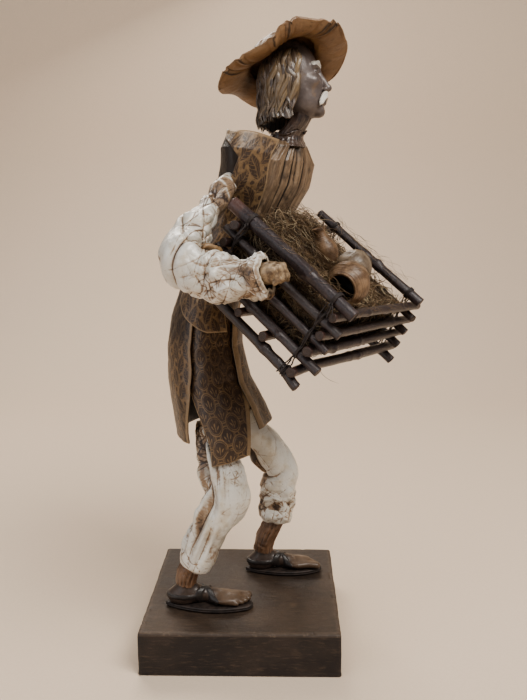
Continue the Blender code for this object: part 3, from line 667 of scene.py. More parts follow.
# ------------------------------------------------------------------ materials
# Colours are laid down in order, each mix() covering the one before by a mask.
# Attributes: wash is stain in the hollows and, on the printed vest and back skirt, also
# painted shade; inside the back of a sheet, rim and edge its borders, cav hollows, pu and pv
# places across and along a sheet in millimetres, su and sv the same on strands, rnd and tone
# a random shade per strand or twig.
def paint_ivory():
    stain_and_shade = attr("stain_and_shade")
    blotch = noise(2.6, detail=6, rough=0.7)
    colour = mix(noise(16, detail=3), (0.60, 0.57, 0.50), (0.74, 0.73, 0.70))
    colour = mix(ramp(0.45, 0.72, noise(6.0)) * 0.6, colour, (0.50, 0.42, 0.30))
    # brown lacquer, near black where it is deepest
    stain = clamp(ramp(0.10, 0.62, stain_and_shade + sway(blotch, 0.9)))
    brown = mix(noise(4), (0.33, 0.20, 0.095), (0.15, 0.085, 0.05))
    colour = mix(stain * 0.9, colour, brown)
    deep = ramp(0.60, 1.10, stain_and_shade + sway(noise(1.2, detail=5), 0.8))
    colour = mix(deep, colour, (0.05, 0.03, 0.022))
    # round spots and fine flecks
    spots = ramp(0.085, 0.03, cells(4.6)) * ramp(0.52, 0.62, noise(9))
    colour = mix(spots * 0.85, colour, (0.14, 0.085, 0.05))
    flecks = ramp(0.60, 0.74, noise(0.9, detail=5, rough=0.7))
    colour = mix(flecks * 0.35, colour, (0.40, 0.33, 0.25))
    colour = mix(attr("inside"), colour, (0.30, 0.19, 0.10))
    colour = mix(attr("rim") * 0.55, colour, (0.78, 0.72, 0.60))
    normal = bumps((noise(0.55, detail=4), 0.10), (noise(3.5, detail=3), 0.35))
    surface(colour, clamp(0.30 + sway(blotch, 0.25) + stain * 0.12), normal,
            coat=0.35, coat_rough=0.22)


def scale_pattern(across, along, width=9.6, height=11.0, line=0.055):
    """Round-ended scales in offset rows, each with a double rim and a three-part leaf."""
    pattern = None
    for shift in (0.0, 0.5):
        x = calc("FRACT", across / width + shift) - 0.5
        y = calc("FRACT", along / height + shift) - 0.5
        radius = root(x * x * 1.15 + y * y * 0.92)
        rim = ramp(line, line * 0.35, size_of(radius - 0.42))
        inner_rim = ramp(line * 0.55, line * 0.2, size_of(radius - 0.33)) * 0.6
        side = size_of(x)
        stem = ramp(0.035, 0.012, side) * ramp(-0.28, -0.2, y) * ramp(0.12, 0.02, y)
        leaf_y = y - 0.04
        leaf = ramp(0.12, 0.07, root(x * x * 5.5 + leaf_y * leaf_y))
        lobe_x, lobe_y = side - 0.135, y + 0.06
        slanted = (lobe_x - lobe_y * 0.5) * (lobe_x - lobe_y * 0.5) * 6.0
        lobe = ramp(0.11, 0.06, root(slanted + lobe_y * lobe_y))
        figure = clamp(larger(larger(rim, inner_rim), larger(larger(leaf, lobe), stem)))
        inside = ramp(0.45, 0.43, radius)
        if pattern is None:
            pattern = figure * inside
        else:
            # this row hides what lies behind it
            pattern = larger(pattern * (1.0 - inside), figure * inside)
    return clamp(pattern)


def leaf_pattern(across, along, cell=9.0):
    """Pointed, veined leaves in two slanted sets, with round buds between them."""
    pattern = None
    for shift, slant in ((0.0, 0.55), (0.5, -0.60)):
        x = calc("FRACT", across * (1.0 / cell) + shift) - 0.5
        y = calc("FRACT", along * (0.72 / cell) + shift) - 0.5
        c, s = cos(slant), sin(slant)
        a = x * c + y * s
        b = y * c - x * s
        side = size_of(a)
        half = (1.0 - b * b * (1.0 / 0.215)) * 0.23
        body = ramp(0.025, -0.025, side - half)
        side_veins = ramp(0.78, 0.96, calc("SINE", (b - side * 0.9) * 46.0))
        veins = larger(ramp(0.030, 0.010, side), side_veins)
        leaf = body * (1.0 - veins * 0.8)
        bud_x = calc("FRACT", across * (1.0 / cell) + shift + 0.5) - 0.5
        bud_y = calc("FRACT", along * (0.72 / cell) + shift) - 0.5
        leaf = larger(leaf, ramp(0.095, 0.065, root(bud_x * bud_x + bud_y * bud_y)))
        pattern = leaf if pattern is None else larger(pattern, leaf)
    return pattern


def scale_print(across, along, dark, gold):
    figure = scale_pattern(across, along)
    worn = ramp(0.30, 0.50, noise(2.0, detail=5, rough=0.7))
    colour = mix(figure * worn, dark, gold)
    return mix(ramp(0.40, 0.72, noise(22, detail=2)) * 0.55, colour, dark)


def leaf_print(across, along, dark, gold):
    ground = 1.0 - leaf_pattern(across, along)
    worn = ramp(0.30, 0.52, noise(2.4, detail=5, rough=0.7))
    return mix(ground * worn * 0.95, dark, gold)


def paint_print(pattern):
    stain_and_shade = attr("stain_and_shade")
    dark = mix(noise(7), (0.030, 0.019, 0.015), (0.080, 0.048, 0.031))
    gold = mix(noise(3, detail=5), (0.275, 0.175, 0.090), (0.145, 0.092, 0.048))
    across = attr("pu") + sway(noise(5, detail=2), 1.6)
    along = attr("pv") + sway(noise(6, detail=2), 1.6)
    colour = pattern(across, along, dark, gold)
    fibre = noise(0.5, stretch(1.0, 1.0, 0.25), detail=4)
    colour = mix(ramp(0.5, 0.72, fibre) * 0.25, colour, (0.23, 0.15, 0.085))
    scuff = ramp(0.60, 0.78, noise(3.5, detail=7, rough=0.75) + stain_and_shade * -0.12)
    colour = mix(scuff * 0.45, colour, (0.27, 0.195, 0.13))
    # near black in the deepest stain of the hollows, and on the painted shade of the vest's arm
    # opening and the back skirt's top
    colour = mix(ramp(0.25, 0.9, stain_and_shade), colour, (0.022, 0.014, 0.012))
    # bare paper along the edges; the back of the sheet is painted near black, as shade
    border = ramp(0.35, 0.8, attr("edge") + sway(noise(2), 0.5))
    colour = mix(border, colour, mix(noise(1.5), (0.21, 0.135, 0.072), (0.33, 0.235, 0.14)))
    back = mix(noise(5), (0.014, 0.011, 0.013), (0.03, 0.023, 0.022))
    colour = mix(attr("inside") * 0.92, colour, back)
    normal = bumps((fibre, 0.10), (noise(2.8, detail=4), 0.45))
    surface(colour, clamp(0.42 + sway(noise(4), 0.3)), normal, coat=0.14, coat_rough=0.3)


def paint_streaked(dark, mid, light, scale=1.0, coat=0.35, rough=0.34, lining=0.8):
    """Paper with long stains along its folds; scale is their size, and the back is painted darker, as
    shade, by the last argument.
    """
    at = vector(attr("pu"), attr("pv") * 0.14, 0.0)
    streak = noise(2.2 * scale, at, detail=5, rough=0.6, dist=0.4)
    fine = noise(0.6 * scale, at, detail=4, rough=0.65)
    patch = noise(9.0 * scale, detail=3)
    colour = mix(ramp(0.33, 0.68, streak), mid, light)
    colour = mix(ramp(0.50, 0.70, patch + sway(streak, 0.5)) * 0.85, colour, dark)
    colour = mix(ramp(0.56, 0.70, fine) * 0.5, colour, light)
    colour = mix(ramp(0.44, 0.30, fine) * 0.45, colour, dark)
    stain = ramp(0.20, 0.85, attr("stain_and_shade") + sway(streak, 0.4))
    colour = mix(stain, colour, shade(dark, 0.45))
    # the back of the sheet is painted darker, as shade
    colour = mix(attr("inside") * lining, colour, shade(dark, 0.5))
    normal = bumps((fine, 0.12), (noise(2.0, detail=4), 0.35))
    surface(colour, clamp(rough + sway(streak, 0.3)), normal, coat=coat, coat_rough=0.2)


def paint_bark():
    end, tone = attr("end"), attr("tone")
    skin = noise(0.9, detail=6, rough=0.65)
    at = vector(attr("sv") * 3.0, attr("su") * 0.10, tone * 40.0)
    lengthwise = noise(0.5, at, detail=4, rough=0.6)
    colour = mix(ramp(0.32, 0.70, skin), (0.014, 0.010, 0.013), (0.060, 0.038, 0.037))
    colour = mix(ramp(0.55, 0.75, lengthwise) * 0.5, colour, (0.115, 0.090, 0.092))
    colour = mix(ramp(0.60, 0.78, noise(6, detail=4)) * 0.45, colour, (0.105, 0.080, 0.064))
    red = mix(skin, (0.050, 0.022, 0.018), (0.13, 0.065, 0.052))
    colour = mix(ramp(0.3, 0.8, attr("red") + sway(noise(2.2), 0.9)), colour, red)
    colour = mix(tone * 0.5, colour, (0.050, 0.038, 0.033))
    # pale pores
    pores = ramp(0.10, 0.05, cells(2.3, stretch(1, 1, 1))) * 0.6
    colour = mix(pores, colour, (0.23, 0.19, 0.15))
    # growth rings on the cut ends
    rings = calc("SINE", attr("er") * 9.0 + noise(1.0) * 3.0)
    wood = mix(ramp(-0.6, 0.9, rings), (0.030, 0.017, 0.013), (0.080, 0.048, 0.034))
    wood = mix(ramp(0.45, 0.7, noise(0.8)) * 0.7, wood, (0.028, 0.018, 0.016))
    colour = mix(end, colour, wood)
    surface(colour, clamp(0.38 + sway(skin, 0.35) + end * 0.2),
            bumps((lengthwise, 0.16), (skin, 0.22)), coat=0.25, coat_rough=0.25)


def paint_straw():
    shade_of = attr("rnd")
    colour = mix(ramp(0.0, 0.55, shade_of), (0.050, 0.032, 0.021), (0.19, 0.120, 0.066))
    colour = mix(ramp(0.55, 0.88, shade_of), colour, (0.36, 0.265, 0.165))
    colour = mix(ramp(0.86, 0.97, shade_of), colour, (0.58, 0.48, 0.32))
    band = noise(1.2, vector(attr("su") * 0.35, shade_of * 50.0, 0.0), detail=3)
    colour = mix(ramp(0.5, 0.72, band) * 0.5, colour, (0.08, 0.045, 0.025))
    surface(colour, clamp(0.42 + sway(band, 0.3)), coat=0.1, spec=0.4)


def paint_straw_pack():
    along_x = noise(0.5, stretch(0.25, 1.0, 0.6), detail=5, rough=0.7, dist=1.5)
    along_y = noise(0.5, stretch(1.0, 0.22, 0.4), detail=5, rough=0.7, dist=1.5)
    fibres = larger(along_y, along_x)
    # near black between the fibres: painted shade deep in the pack
    colour = mix(ramp(0.46, 0.70, fibres), (0.010, 0.006, 0.004), (0.085, 0.050, 0.025))
    colour = mix(ramp(0.68, 0.82, fibres), colour, (0.19, 0.125, 0.062))
    surface(colour, 0.7, bumps((fibres, 0.9)))


def paint_pot(light, dark):
    """Turned clay; pd runs along the axis, pa round it, pin is the inside, painted near black as
    shade.
    """
    depth = attr("pd")
    rings = noise(0.45, vector(depth * 1.0, 0.0, noise(8) * 1.0), detail=4, rough=0.7)
    streaks = noise(0.55, vector(attr("pa") * 6.0, depth * 0.12, 0.0), detail=4, rough=0.65)
    blotch = noise(4.2, detail=4)
    colour = mix(ramp(0.32, 0.68, blotch), dark, light)
    colour = mix(ramp(0.52, 0.66, rings) * 0.55, colour, shade(dark, 0.55))
    colour = mix(ramp(0.55, 0.72, streaks) * 0.35, colour, shade(light, 1.35))
    colour = mix(ramp(0.46, 0.30, streaks) * 0.35, colour, shade(dark, 0.6))
    # the inside is painted near black, as shade in the pot's mouth
    colour = mix(attr("pin"), colour, (0.022, 0.012, 0.010))
    surface(colour, clamp(0.40 + sway(blotch, 0.3)), bumps((rings, 0.22), (streaks, 0.08)),
            coat=0.22, coat_rough=0.28)


def paint_skin():
    hollow = attr("cav")
    mottle = noise(2.2, detail=5, rough=0.6)
    colour = mix(mottle, (0.085, 0.068, 0.064), (0.20, 0.163, 0.148))
    ridges = ramp(0.10, 0.55, hollow * -1.0 + sway(noise(1.0, detail=5), 0.25))
    colour = mix(ridges * 0.75, colour, (0.42, 0.37, 0.32))
    low = ramp(0.05, 0.45, hollow + sway(mottle, 0.2))
    colour = mix(low * 0.85, colour, (0.018, 0.012, 0.012))
    warm = ramp(0.55, 0.72, noise(5.0, detail=3))
    colour = mix(warm * 0.45, colour, (0.22, 0.145, 0.09))
    brow = ramp(0.35, 0.7, attr("brow") + sway(noise(0.8), 0.5))
    colour = mix(brow, colour, (0.66, 0.63, 0.57))
    surface(colour, clamp(0.40 + sway(mottle, 0.3)), bumps((noise(0.5, detail=4), 0.08)),
            metallic=0.15, coat=0.20, coat_rough=0.25)


def paint_hair():
    shade_of = attr("rnd")
    at = vector(attr("sv") * 1.0, attr("su") * 0.05, shade_of * 30.0)
    strands_of = noise(0.22, at, detail=4, rough=0.6)
    tone = clamp(shade_of * 0.5 + strands_of * 0.8 - 0.15)
    colour = mix(ramp(0.25, 0.75, tone), (0.060, 0.042, 0.034), (0.20, 0.14, 0.080))
    colour = mix(ramp(0.72, 0.95, tone), colour, (0.42, 0.31, 0.17))
    colour = mix(ramp(0.50, 0.78, noise(6.0)) * 0.75, colour, (0.150, 0.120, 0.122))
    colour = mix(ramp(0.25, 0.9, attr("groove")) * 0.85, colour, (0.030, 0.020, 0.016))
    surface(colour, clamp(0.32 + sway(strands_of, 0.3)), bumps((strands_of, 0.16)),
            coat=0.35, coat_rough=0.2)


def paint_moustache():
    hairs = noise(0.2, vector(attr("sv") * 1.2, attr("su") * 0.08, 0.0), detail=4)
    colour = mix(hairs, (0.60, 0.56, 0.47), (0.84, 0.82, 0.78))
    colour = mix(ramp(0.05, 0.6, attr("groove")) * 0.85, colour, (0.20, 0.14, 0.09))
    surface(colour, 0.42, bumps((hairs, 0.10)), coat=0.25)


def paint_wood():
    edge, top = attr("edge"), attr("top")
    grain = noise(1.0, stretch(0.16, 1.0, 1.0), detail=6, rough=0.65)
    big = noise(26, detail=4)
    colour = mix(ramp(0.30, 0.72, big), (0.038, 0.027, 0.021), (0.074, 0.050, 0.035))
    # a mix of the colour with itself, by nothing: it does not show
    colour = mix(top * 0.0 + ramp(0.5, 0.5001, top) * 0.0, colour, colour)
    # painted shade: the sides get a darker copy of the top's colour, so the top reads as lit
    side = mix(ramp(0.35, 0.7, big), (0.022, 0.017, 0.016), (0.045, 0.032, 0.026))
    colour = mix(top, side, colour)
    colour = mix(ramp(0.52, 0.72, grain) * 0.38, colour, (0.15, 0.10, 0.066))
    colour = mix(ramp(0.46, 0.28, grain) * 0.45, colour, (0.018, 0.013, 0.012))
    patch = ramp(0.60, 0.76, noise(15, detail=5, rough=0.6))
    colour = mix(patch * top * 0.55, colour, (0.17, 0.11, 0.065))
    scuff = ramp(0.64, 0.80, noise(4, detail=8, rough=0.8) + edge * 0.12)
    colour = mix(scuff * 0.6, colour, (0.22, 0.165, 0.12))
    # lighter along the edges: worn wood, and partly a painted highlight on the rounded edges
    worn = ramp(0.35, 0.9, edge + sway(noise(3, detail=5), 0.8))
    colour = mix(worn * 0.35, colour, (0.13, 0.092, 0.066))
    normal = bumps((noise(0.5, detail=4), 0.07), (grain, 0.30), (noise(7, detail=3), 0.5))
    surface(colour, clamp(0.55 + sway(big, 0.35) - top * 0.03), normal,
            coat=0.06, coat_rough=0.4, spec=0.4)


def paint_cord():
    fibre = noise(0.5, detail=4)
    colour = mix(fibre, (0.012, 0.010, 0.012), (0.060, 0.045, 0.040))
    surface(colour, 0.6, bumps((fibre, 0.06)))


def paint_plain(dark, light, size, rough, metallic=0.0, depth=0.1, coat=0.0):
    """Two mottled tones; size is that of the mottling and depth that of its bumps."""
    mottle = noise(size, detail=5, rough=0.6)
    fine = noise(size * 0.2, detail=4)
    colour = mix(ramp(0.3, 0.7, mottle), dark, light)
    colour = mix(ramp(0.58, 0.75, fine) * 0.35, colour, shade(light, 1.5))
    surface(colour, clamp(rough + sway(mottle, 0.25)), bumps((fine, depth)),
            metallic=metallic, coat=coat)


def paint_foot():
    """fx runs from heel to toe, strap marks the sandal's bands."""
    hollow = attr("cav")
    mottle = noise(2.0, detail=5)
    colour = mix(mottle, (0.034, 0.024, 0.020), (0.085, 0.055, 0.040))
    toes = mix(mottle, (0.070, 0.044, 0.028), (0.135, 0.085, 0.052))
    colour = mix(ramp(11.0, 17.0, attr("fx") + sway(mottle, 5.0)), colour, toes)
    colour = mix(attr("strap"), colour, (0.026, 0.020, 0.018))
    colour = mix(ramp(0.03, 0.3, hollow), colour, (0.022, 0.015, 0.013))
    colour = mix(ramp(0.08, 0.35, hollow * -1.0) * 0.4, colour, (0.17, 0.11, 0.070))
    surface(colour, clamp(0.42 + sway(mottle, 0.3)), bumps((noise(0.5, detail=4), 0.1)),
            coat=0.15)


IVORY = material("ivory_paper", paint_ivory)
SCALE_PRINT = material("scale_print_paper", paint_print, scale_print)
LEAF_PRINT = material("leaf_print_paper", paint_print, leaf_print)
SHIRT = material(
    "brown_shirt_paper", paint_streaked, dark=(0.042, 0.027, 0.019),
    mid=(0.135, 0.087, 0.054), light=(0.31, 0.215, 0.135), coat=0.15, rough=0.42)
NECK = material(
    "neck_paper", paint_streaked, dark=(0.020, 0.015, 0.015), mid=(0.052, 0.034, 0.028),
    light=(0.12, 0.080, 0.062), scale=0.8, coat=0.45, rough=0.28)
HAT = material(
    "hat_brown_paper", paint_streaked, dark=(0.070, 0.038, 0.021), mid=(0.185, 0.102, 0.049),
    light=(0.27, 0.160, 0.080), scale=3.5, coat=0.12, rough=0.48, lining=0.0)
LEG = material(
    "leg_brown_paper", paint_streaked, dark=(0.060, 0.033, 0.022), mid=(0.135, 0.072, 0.040),
    light=(0.24, 0.14, 0.085), coat=0.2, rough=0.42)
BARK = material("bark_twig", paint_bark)
STRAW = material("straw_strand", paint_straw)
STRAW_PACK = material("straw_pack", paint_straw_pack)
POT_BROWN = material(
    "pot_brown", paint_pot, light=(0.29, 0.19, 0.115), dark=(0.13, 0.076, 0.042))
POT_GREY = material("pot_grey", paint_pot, light=(0.26, 0.20, 0.14), dark=(0.13, 0.092, 0.062))
POT_GLOSS = material(
    "pot_gloss", paint_pot, light=(0.21, 0.125, 0.065), dark=(0.08, 0.045, 0.026))
SKIN = material("painted_skin", paint_skin)
HAIR = material("painted_hair", paint_hair)
WHISKER = material("white_whisker", paint_moustache)
WOOD = material("base_wood", paint_wood)
CORD = material("dark_cord", paint_cord)
SOLE = material(
    "sandal_sole", paint_plain, dark=(0.020, 0.016, 0.015), light=(0.060, 0.042, 0.034),
    size=3.0, rough=0.55)
STEEL = material(
    "dull_wire", paint_plain, dark=(0.22, 0.22, 0.22), light=(0.36, 0.35, 0.33),
    size=4.0, rough=0.42, metallic=1.0, depth=0.03)
CORE = material(
    "core_paper", paint_plain, dark=(0.28, 0.22, 0.15), light=(0.42, 0.34, 0.24),
    size=5.0, rough=0.8)
FOOT = material("foot_paint", paint_foot)
HAND = material(
    "hand_paper", paint_plain, dark=(0.10, 0.062, 0.036), light=(0.40, 0.29, 0.18),
    size=2.6, rough=0.45, coat=0.15)

# ------------------------------------------------------------------ base block
BLOCK_HALF = 50
BLOCK_TOP = 22.5
BLOCK_AROUND = 480


def square_outline(corner):
    """Points round a square of half size 1 with rounded corners."""
    t = linspace(0, 1, BLOCK_AROUND, endpoint=False) * 4
    side = t.astype(int)
    part = (t - side) * 2 - 1
    x = np.choose(side, [1, -part, -1, part])
    y = np.choose(side, [part, 1, -part, -1])
    straight = 1 - corner
    over_x = maximum(np.abs(x) - straight, 0)
    over_y = maximum(np.abs(y) - straight, 0)
    reach = maximum(np.sqrt(over_x**2 + over_y**2), 1e-9)
    shrink = minimum(np.where((over_x > 0) & (over_y > 0), corner / reach, 1), 1)
    return (np.sign(x) * (minimum(np.abs(x), straight) + over_x * shrink),
            np.sign(y) * (minimum(np.abs(y), straight) + over_y * shrink))


def block_levels():
    """Rings from the middle of the underside to that of the top: scale, z, edge, top."""
    levels = [(s, 0.0, 0.0, 0.0) for s in (0.02, 0.25, 0.5, 0.75, 0.9, 0.965, 0.982)]
    for k in range(4):
        a = pi / 2 * k / 3
        levels.append((1 - 0.018 * (1 - sin(a)), 0.9 * (1 - cos(a)), 0.5, 0.0))
    levels += [(1.0, z, 0.0, 0.0) for z in linspace(1.6, BLOCK_TOP - 1.9, 22)]
    for k in range(8):
        a = pi / 2 * k / 7
        z = BLOCK_TOP - 1.5 * (1 - sin(a))
        levels.append((1 - 0.030 * (1 - cos(a)), z, 1.0, 1.0 if k > 3 else 0.0))
    for s in linspace(0.955, 0.03, 56):
        levels.append((s, BLOCK_TOP, bell(s, 0.96, 0.03) * 0.7, 1.0))
    return np.array(levels)


def base_block():
    x, y = square_outline(0.02)
    scale, z, edge, top = [np.repeat(column[:, None], BLOCK_AROUND, axis=1)
                           for column in block_levels().T]
    rings = stack(x * BLOCK_HALF * scale, y * BLOCK_HALF * scale, z)
    off_side = np.abs(np.abs(rings[..., :2]) - BLOCK_HALF).sum(-1)
    edge = edge + 0.35 * bell(off_side, 0.5, 1.6)
    wobble = fbm(rings, 18, 3) * 0.35 + fbm(rings, 5, 4) * 0.14
    nick = rise(0.35, 0.75, fbm(rings, 6.0, 9)) * rise(0.4, 1.0, edge) * 0.9
    worn = rings.copy()
    for k in (0, 1):
        side = np.sign(rings[..., k]) * rise(47, 49.4, np.abs(rings[..., k]))
        worn[..., k] += side * (wobble - 0.25 - nick) * rise(0.3, 3.0, z)
    grain = np.where(top > 0.5, fbm(rings * (0.12, 1, 1), 1.6, 12) * 0.06, 0)
    dish = fbm(rings, 30, 6) * 0.22 + fbm(rings, 4, 7) * 0.07 + grain
    worn[..., 2] += rise(BLOCK_TOP - 1.5, BLOCK_TOP, z) * (dish - 0.15 - nick)
    verts, faces = closed_tube(worn)
    make("base_block_worn", verts, faces, WOOD, "wood_base", "base_block",
         {"edge": capped(edge), "top": capped(top, 0, 1)})


base_block()

# ------------------------------------------------------------------ feet and sandals
# side, ankle x and y, turn in degrees, side of the big toe, length factor, shift along x
FEET = (
    ("right", -27.0, -22.0, -3, 1.0, 1.185, -2.3),
    ("left", 10.5, 19.5, 2, -1.0, 1.12, -0.6),
)
# y, x and radius of each toe's tip, big toe first
TOES = ((4.3, 27.0, 1.85), (1.7, 27.2, 1.35), (-0.6, 26.2, 1.25), (-2.7, 24.8, 1.2),
        (-4.6, 22.9, 1.15))
# scale and height of the sole's rings; the outline pinches in for a welt line
SOLE_RINGS = ((0.02, -0.05), (0.6, 0.0), (0.9, 0.0), (0.985, 0.12), (1.0, 0.4), (1.0, 0.85),
              (0.975, 1.0), (1.0, 1.15), (1.0, 1.7), (0.985, 2.0), (0.93, 2.15), (0.6, 2.3),
              (0.02, 2.35))


def foot(side, ankle_x, ankle_y, yaw, inner, length, back):
    c, s = cos(radians(yaw)), sin(radians(yaw))

    def place(p, lift):
        x, y = p[..., 0] * length + back, p[..., 1] * 1.06
        return stack(ankle_x + c * x - s * y, ankle_y + s * x + c * y, p[..., 2] + lift)

    def straps(p):
        """Two crossed bands over the foot and one round the heel."""
        x, y, z = np.moveaxis(p, -1, 0)
        first = np.abs((x - 9.5) + y * 0.75 * inner) - 1.25
        second = np.abs((x - 9.0) - y * 0.65 * inner) - 1.15
        heel = maximum(np.abs(z - 4.4) - 1.0, x - 5.0)
        return minimum(minimum(first, second), heel)

    def shape(p):
        d = ell(p, (-2.6, 0, 3.4), (5.6, 4.9, 4.6))
        d = smin(d, cap(p, (0, 0, 3), (0.3, 0, 10.9), 4.7, 4.15), 3.0)
        d = smin(d, cap(p, (2, 0, 5.2), (15, 0.5 * inner, 3.4), 4.3, 3.0), 3.0)
        d = smin(d, ell(p, (17.8, 0.4 * inner, 2.6), (7.2, 6.5, 2.9)), 2.2)
        for y, x, radius in TOES:
            tip = (x, y * inner, radius + 0.25)
            toe = cap(p, (x - 6.0, y * 0.9 * inner, 2.3), tip, radius * 1.05, radius)
            d = smin(d, toe, 0.9)
        d = d + 0.10 * vnoise(p, 1.8, 4) + 0.16 * vnoise(p, 4.0, 5)
        d = smin(d, smax(d - 0.62, straps(p), 0.35), 0.25)
        return smax(d, -p[..., 2] + 0.02, 0.6)

    verts, quads = sdf_mesh(shape, (-10.5, -9.5, -1.2), (31, 9.5, 12.5), 0.36)
    hollow, _ = vertex_cavity(verts, quads, 6)
    strap = rise(0.35, -0.05, straps(verts)) * (verts[:, 2] > 0.8)
    world = place(verts, BLOCK_TOP + 2.8)
    make("foot_" + side + "_formed", world, outward(world, [quads]), FOOT, "leg_paper",
         "foot_" + side, {"strap": strap, "cav": hollow, "fx": verts[:, 0]})

    angle = circle(120)
    c_sole, s_sole = cos(angle), sin(angle)
    x = 19.4 * c_sole + 10.4
    y = (6.9 * (1.0 + 0.22 * c_sole - 0.10 * cos(2 * angle)) * s_sole
         * (1 + 0.05 * s_sole * inner * c_sole))
    rings = np.array([stack(11.0 + (x - 11.0) * scale, y * scale, np.full(120, z))
                      for scale, z in SOLE_RINGS])
    rings[..., :2] *= 1 + 0.012 * vnoise(rings, 4.0, 8)[..., None]
    rings[..., 2] += 0.12 * vnoise(rings, 5.0, 9) * (rings[..., 2] > 1.2)
    verts, faces = closed_tube(place(rings, BLOCK_TOP + 0.4))
    make("sandal_" + side + "_sole", verts, faces, SOLE, "sandal", "sole_" + side)


for foot_row in FEET:
    foot(*foot_row)


# ------------------------------------------------------------------ legs and trousers
def paper_tube(name, stations, rows, cols, shift, material, slot, replaces,
               thickness=0.8, creases=(), stain=None):
    """A crumpled paper tube.

    stations: x, y, z and the two radii of the section.
    shift(pts, along, facing) moves the wall outwards; along runs 0 .. 1, facing is 0 where
    the wall looks at the viewer and grows towards +x.
    creases: size, seed, warp, strength(along, facing), width.
    """
    table = smooth_path(stations, rows)
    path, radii = table[:, :3], table[:, 3:]
    _, side, over = frames_along(path)
    angle = circle(cols)
    pts = ring_points(path, side, over, radii[:, :1] * cos(angle), radii[:, 1:] * sin(angle))
    normals = normals_from(pts, path[:, None])
    along, angles = grid(linspace(0, 1, rows), angle)
    facing = np.arctan2(normals[..., 0], normals @ TO_VIEWER)
    out = shift(pts, along, facing)
    stained = 0.0
    for size, seed, warp, strength, width in creases:
        edge = creased(pts, size, seed, warp)[1]
        amount = strength(along, facing)
        out = out - 0.16 * minimum(amount, 1.2) * bell(edge, 0, width * 1.2)
        # brown lacquer sits in the creases between facets
        patches = rise(0.46, 0.66, 0.5 + 0.5 * fbm(pts, size * 1.1, seed + 40))
        stained = stained + amount * bell(edge, 0, width) * patches
    outer = pts + normals * out[..., None]
    fine, coarse = cavity(outer, True, 16)
    stain_and_shade = clip(fine * 5.0, -0.4, 1.4) * 0.66 + clip(coarse * 1.15, -0.5, 1.5) * 0.85 + stained
    if stain is not None:
        stain_and_shade = stain_and_shade + stain(outer, along, facing)
    arc = arc_lengths(path)
    rim = bell(along * arc[-1], 0, 0.9) + bell((1 - along) * arc[-1], 0, 0.9)
    attrs = {"stain_and_shade": stain_and_shade, "pu": angles * radii.mean(), "pv": grid(arc, angle)[0], "rim": rim}
    shell(name, outer, thickness, attrs, wrap=True, material=material, slot=slot,
          replaces=replaces)


SHIN_RADII = (5.3, 5.5, 5.6, 5.4, 5.2, 5.3, 5.4, 5.0)
SHINS = {
    "right": [(-29.3, -22.0, 35.0), (-27.6, -22.0, 42.0), (-21.5, -22.0, 54.0),
              (-14.5, -22.5, 70.0), (-8.2, -22.5, 84.0), (-8.6, -20.5, 97.0),
              (-11.5, -17.0, 110.0), (-14.0, -13.0, 124.0)],
    "left": [(9.7, 19.5, 35.0), (11.2, 19.5, 42.0), (16.4, 20.0, 54.0), (18.4, 20.0, 68.0),
             (19.2, 19.5, 81.0), (12.4, 17.6, 96.0), (4.4, 14.8, 107.0), (-3.8, 12.6, 117.5)],
}
for k, leg_side in enumerate(SHINS):
    def shin_shift(pts, along, facing):
        sheet = stack(facing * 2.0, along * 6, along * 0)
        bent = 0.40 * folds(sheet, [(1, 0.25, 0), (1, -0.2, 0)], 0.9, 3 + k)
        bent = bent + 0.45 * crumple(pts, 4.5, 31 + k)
        # smooth and slimmer inside the trouser
        covered = rise(0.30, 0.45, along)
        return bent * (1 - covered) - 0.3 * covered

    shin = [(*place, radius, radius) for place, radius in zip(SHINS[leg_side], SHIN_RADII)]
    paper_tube("shin_" + leg_side, shin, 190, 84, shin_shift, LEG, "leg_paper",
               "leg_" + leg_side, thickness=1.4)

# centre, lean, depth and width of the long grooves down the right trouser
TROUSER_GROOVES = (
    (-0.62, -0.35, 2.6, 0.15), (-1.18, 0.2, 2.9, 0.16), (-1.75, -0.15, 2.0, 0.18),
    (-0.15, -0.5, 1.0, 0.10), (2.6, 0.4, 1.8, 0.2), (1.9, -0.4, 1.0, 0.14),
)


def right_trouser_shift(pts, along, facing):
    wide, mid, fine = facets(pts, (14.0, 5), (6.5, 6), (3.0, 7))
    front = near(facing, 0.55, 0.75)
    low = bell(along, 0.14, 0.14)
    high = rise(0.50, 0.66, along)
    out = 2.0 * wide * (1 - 0.35 * front)
    out = out + 1.15 * mid * (1 - 0.9 * front * (1 - low)) * (0.45 + 0.6 * high)
    calm = 1 - 0.85 * front * bell(along, 0.40, 0.2)
    out = out + 0.42 * fine * (0.15 + 0.75 * high + 0.45 * low) * calm
    run = rise(0.03, 0.2, along) * (1 - rise(0.86, 0.99, along))
    for centre, lean, depth, width in TROUSER_GROOVES:
        wander = 0.10 * sin(along * 11 + centre * 5)
        gap = angle_gap(facing, centre + lean * (along - 0.4) + wander)
        out = out - depth * run * tent(gap, width * 1.9)
        out = out + 0.5 * depth * run * bell(np.abs(gap), width * 2.6, width)
    # a blunt knee, and a puffed hem that turns in
    out = out + 1.4 * bell(along, 0.50, 0.10) * near(facing, 1.5, 0.55)
    return out + 1.4 * bell(along, 0.08, 0.07) - 3.0 * rise(0.035, 0.0, along)


def right_trouser_stain(pts, along, facing):
    high = 0.55 * rise(0.62, 0.78, along) * (0.35 + 1.0 * fbm(pts, 6.0, 3))
    hem = 0.35 * bell(along, 0.16, 0.05) * near(facing, 0.9, 0.6)
    side = rise(-0.35, -0.75, facing) * rise(-2.2, -1.5, facing) * rise(0.08, 0.25, along)
    side = 0.75 * side * (0.55 + 0.8 * fbm(pts * (1, 1, 0.3), 5.0, 31))
    return high + hem + side + 0.25 * (0.5 + fbm(pts * (1, 1, 0.35), 7.0, 33))


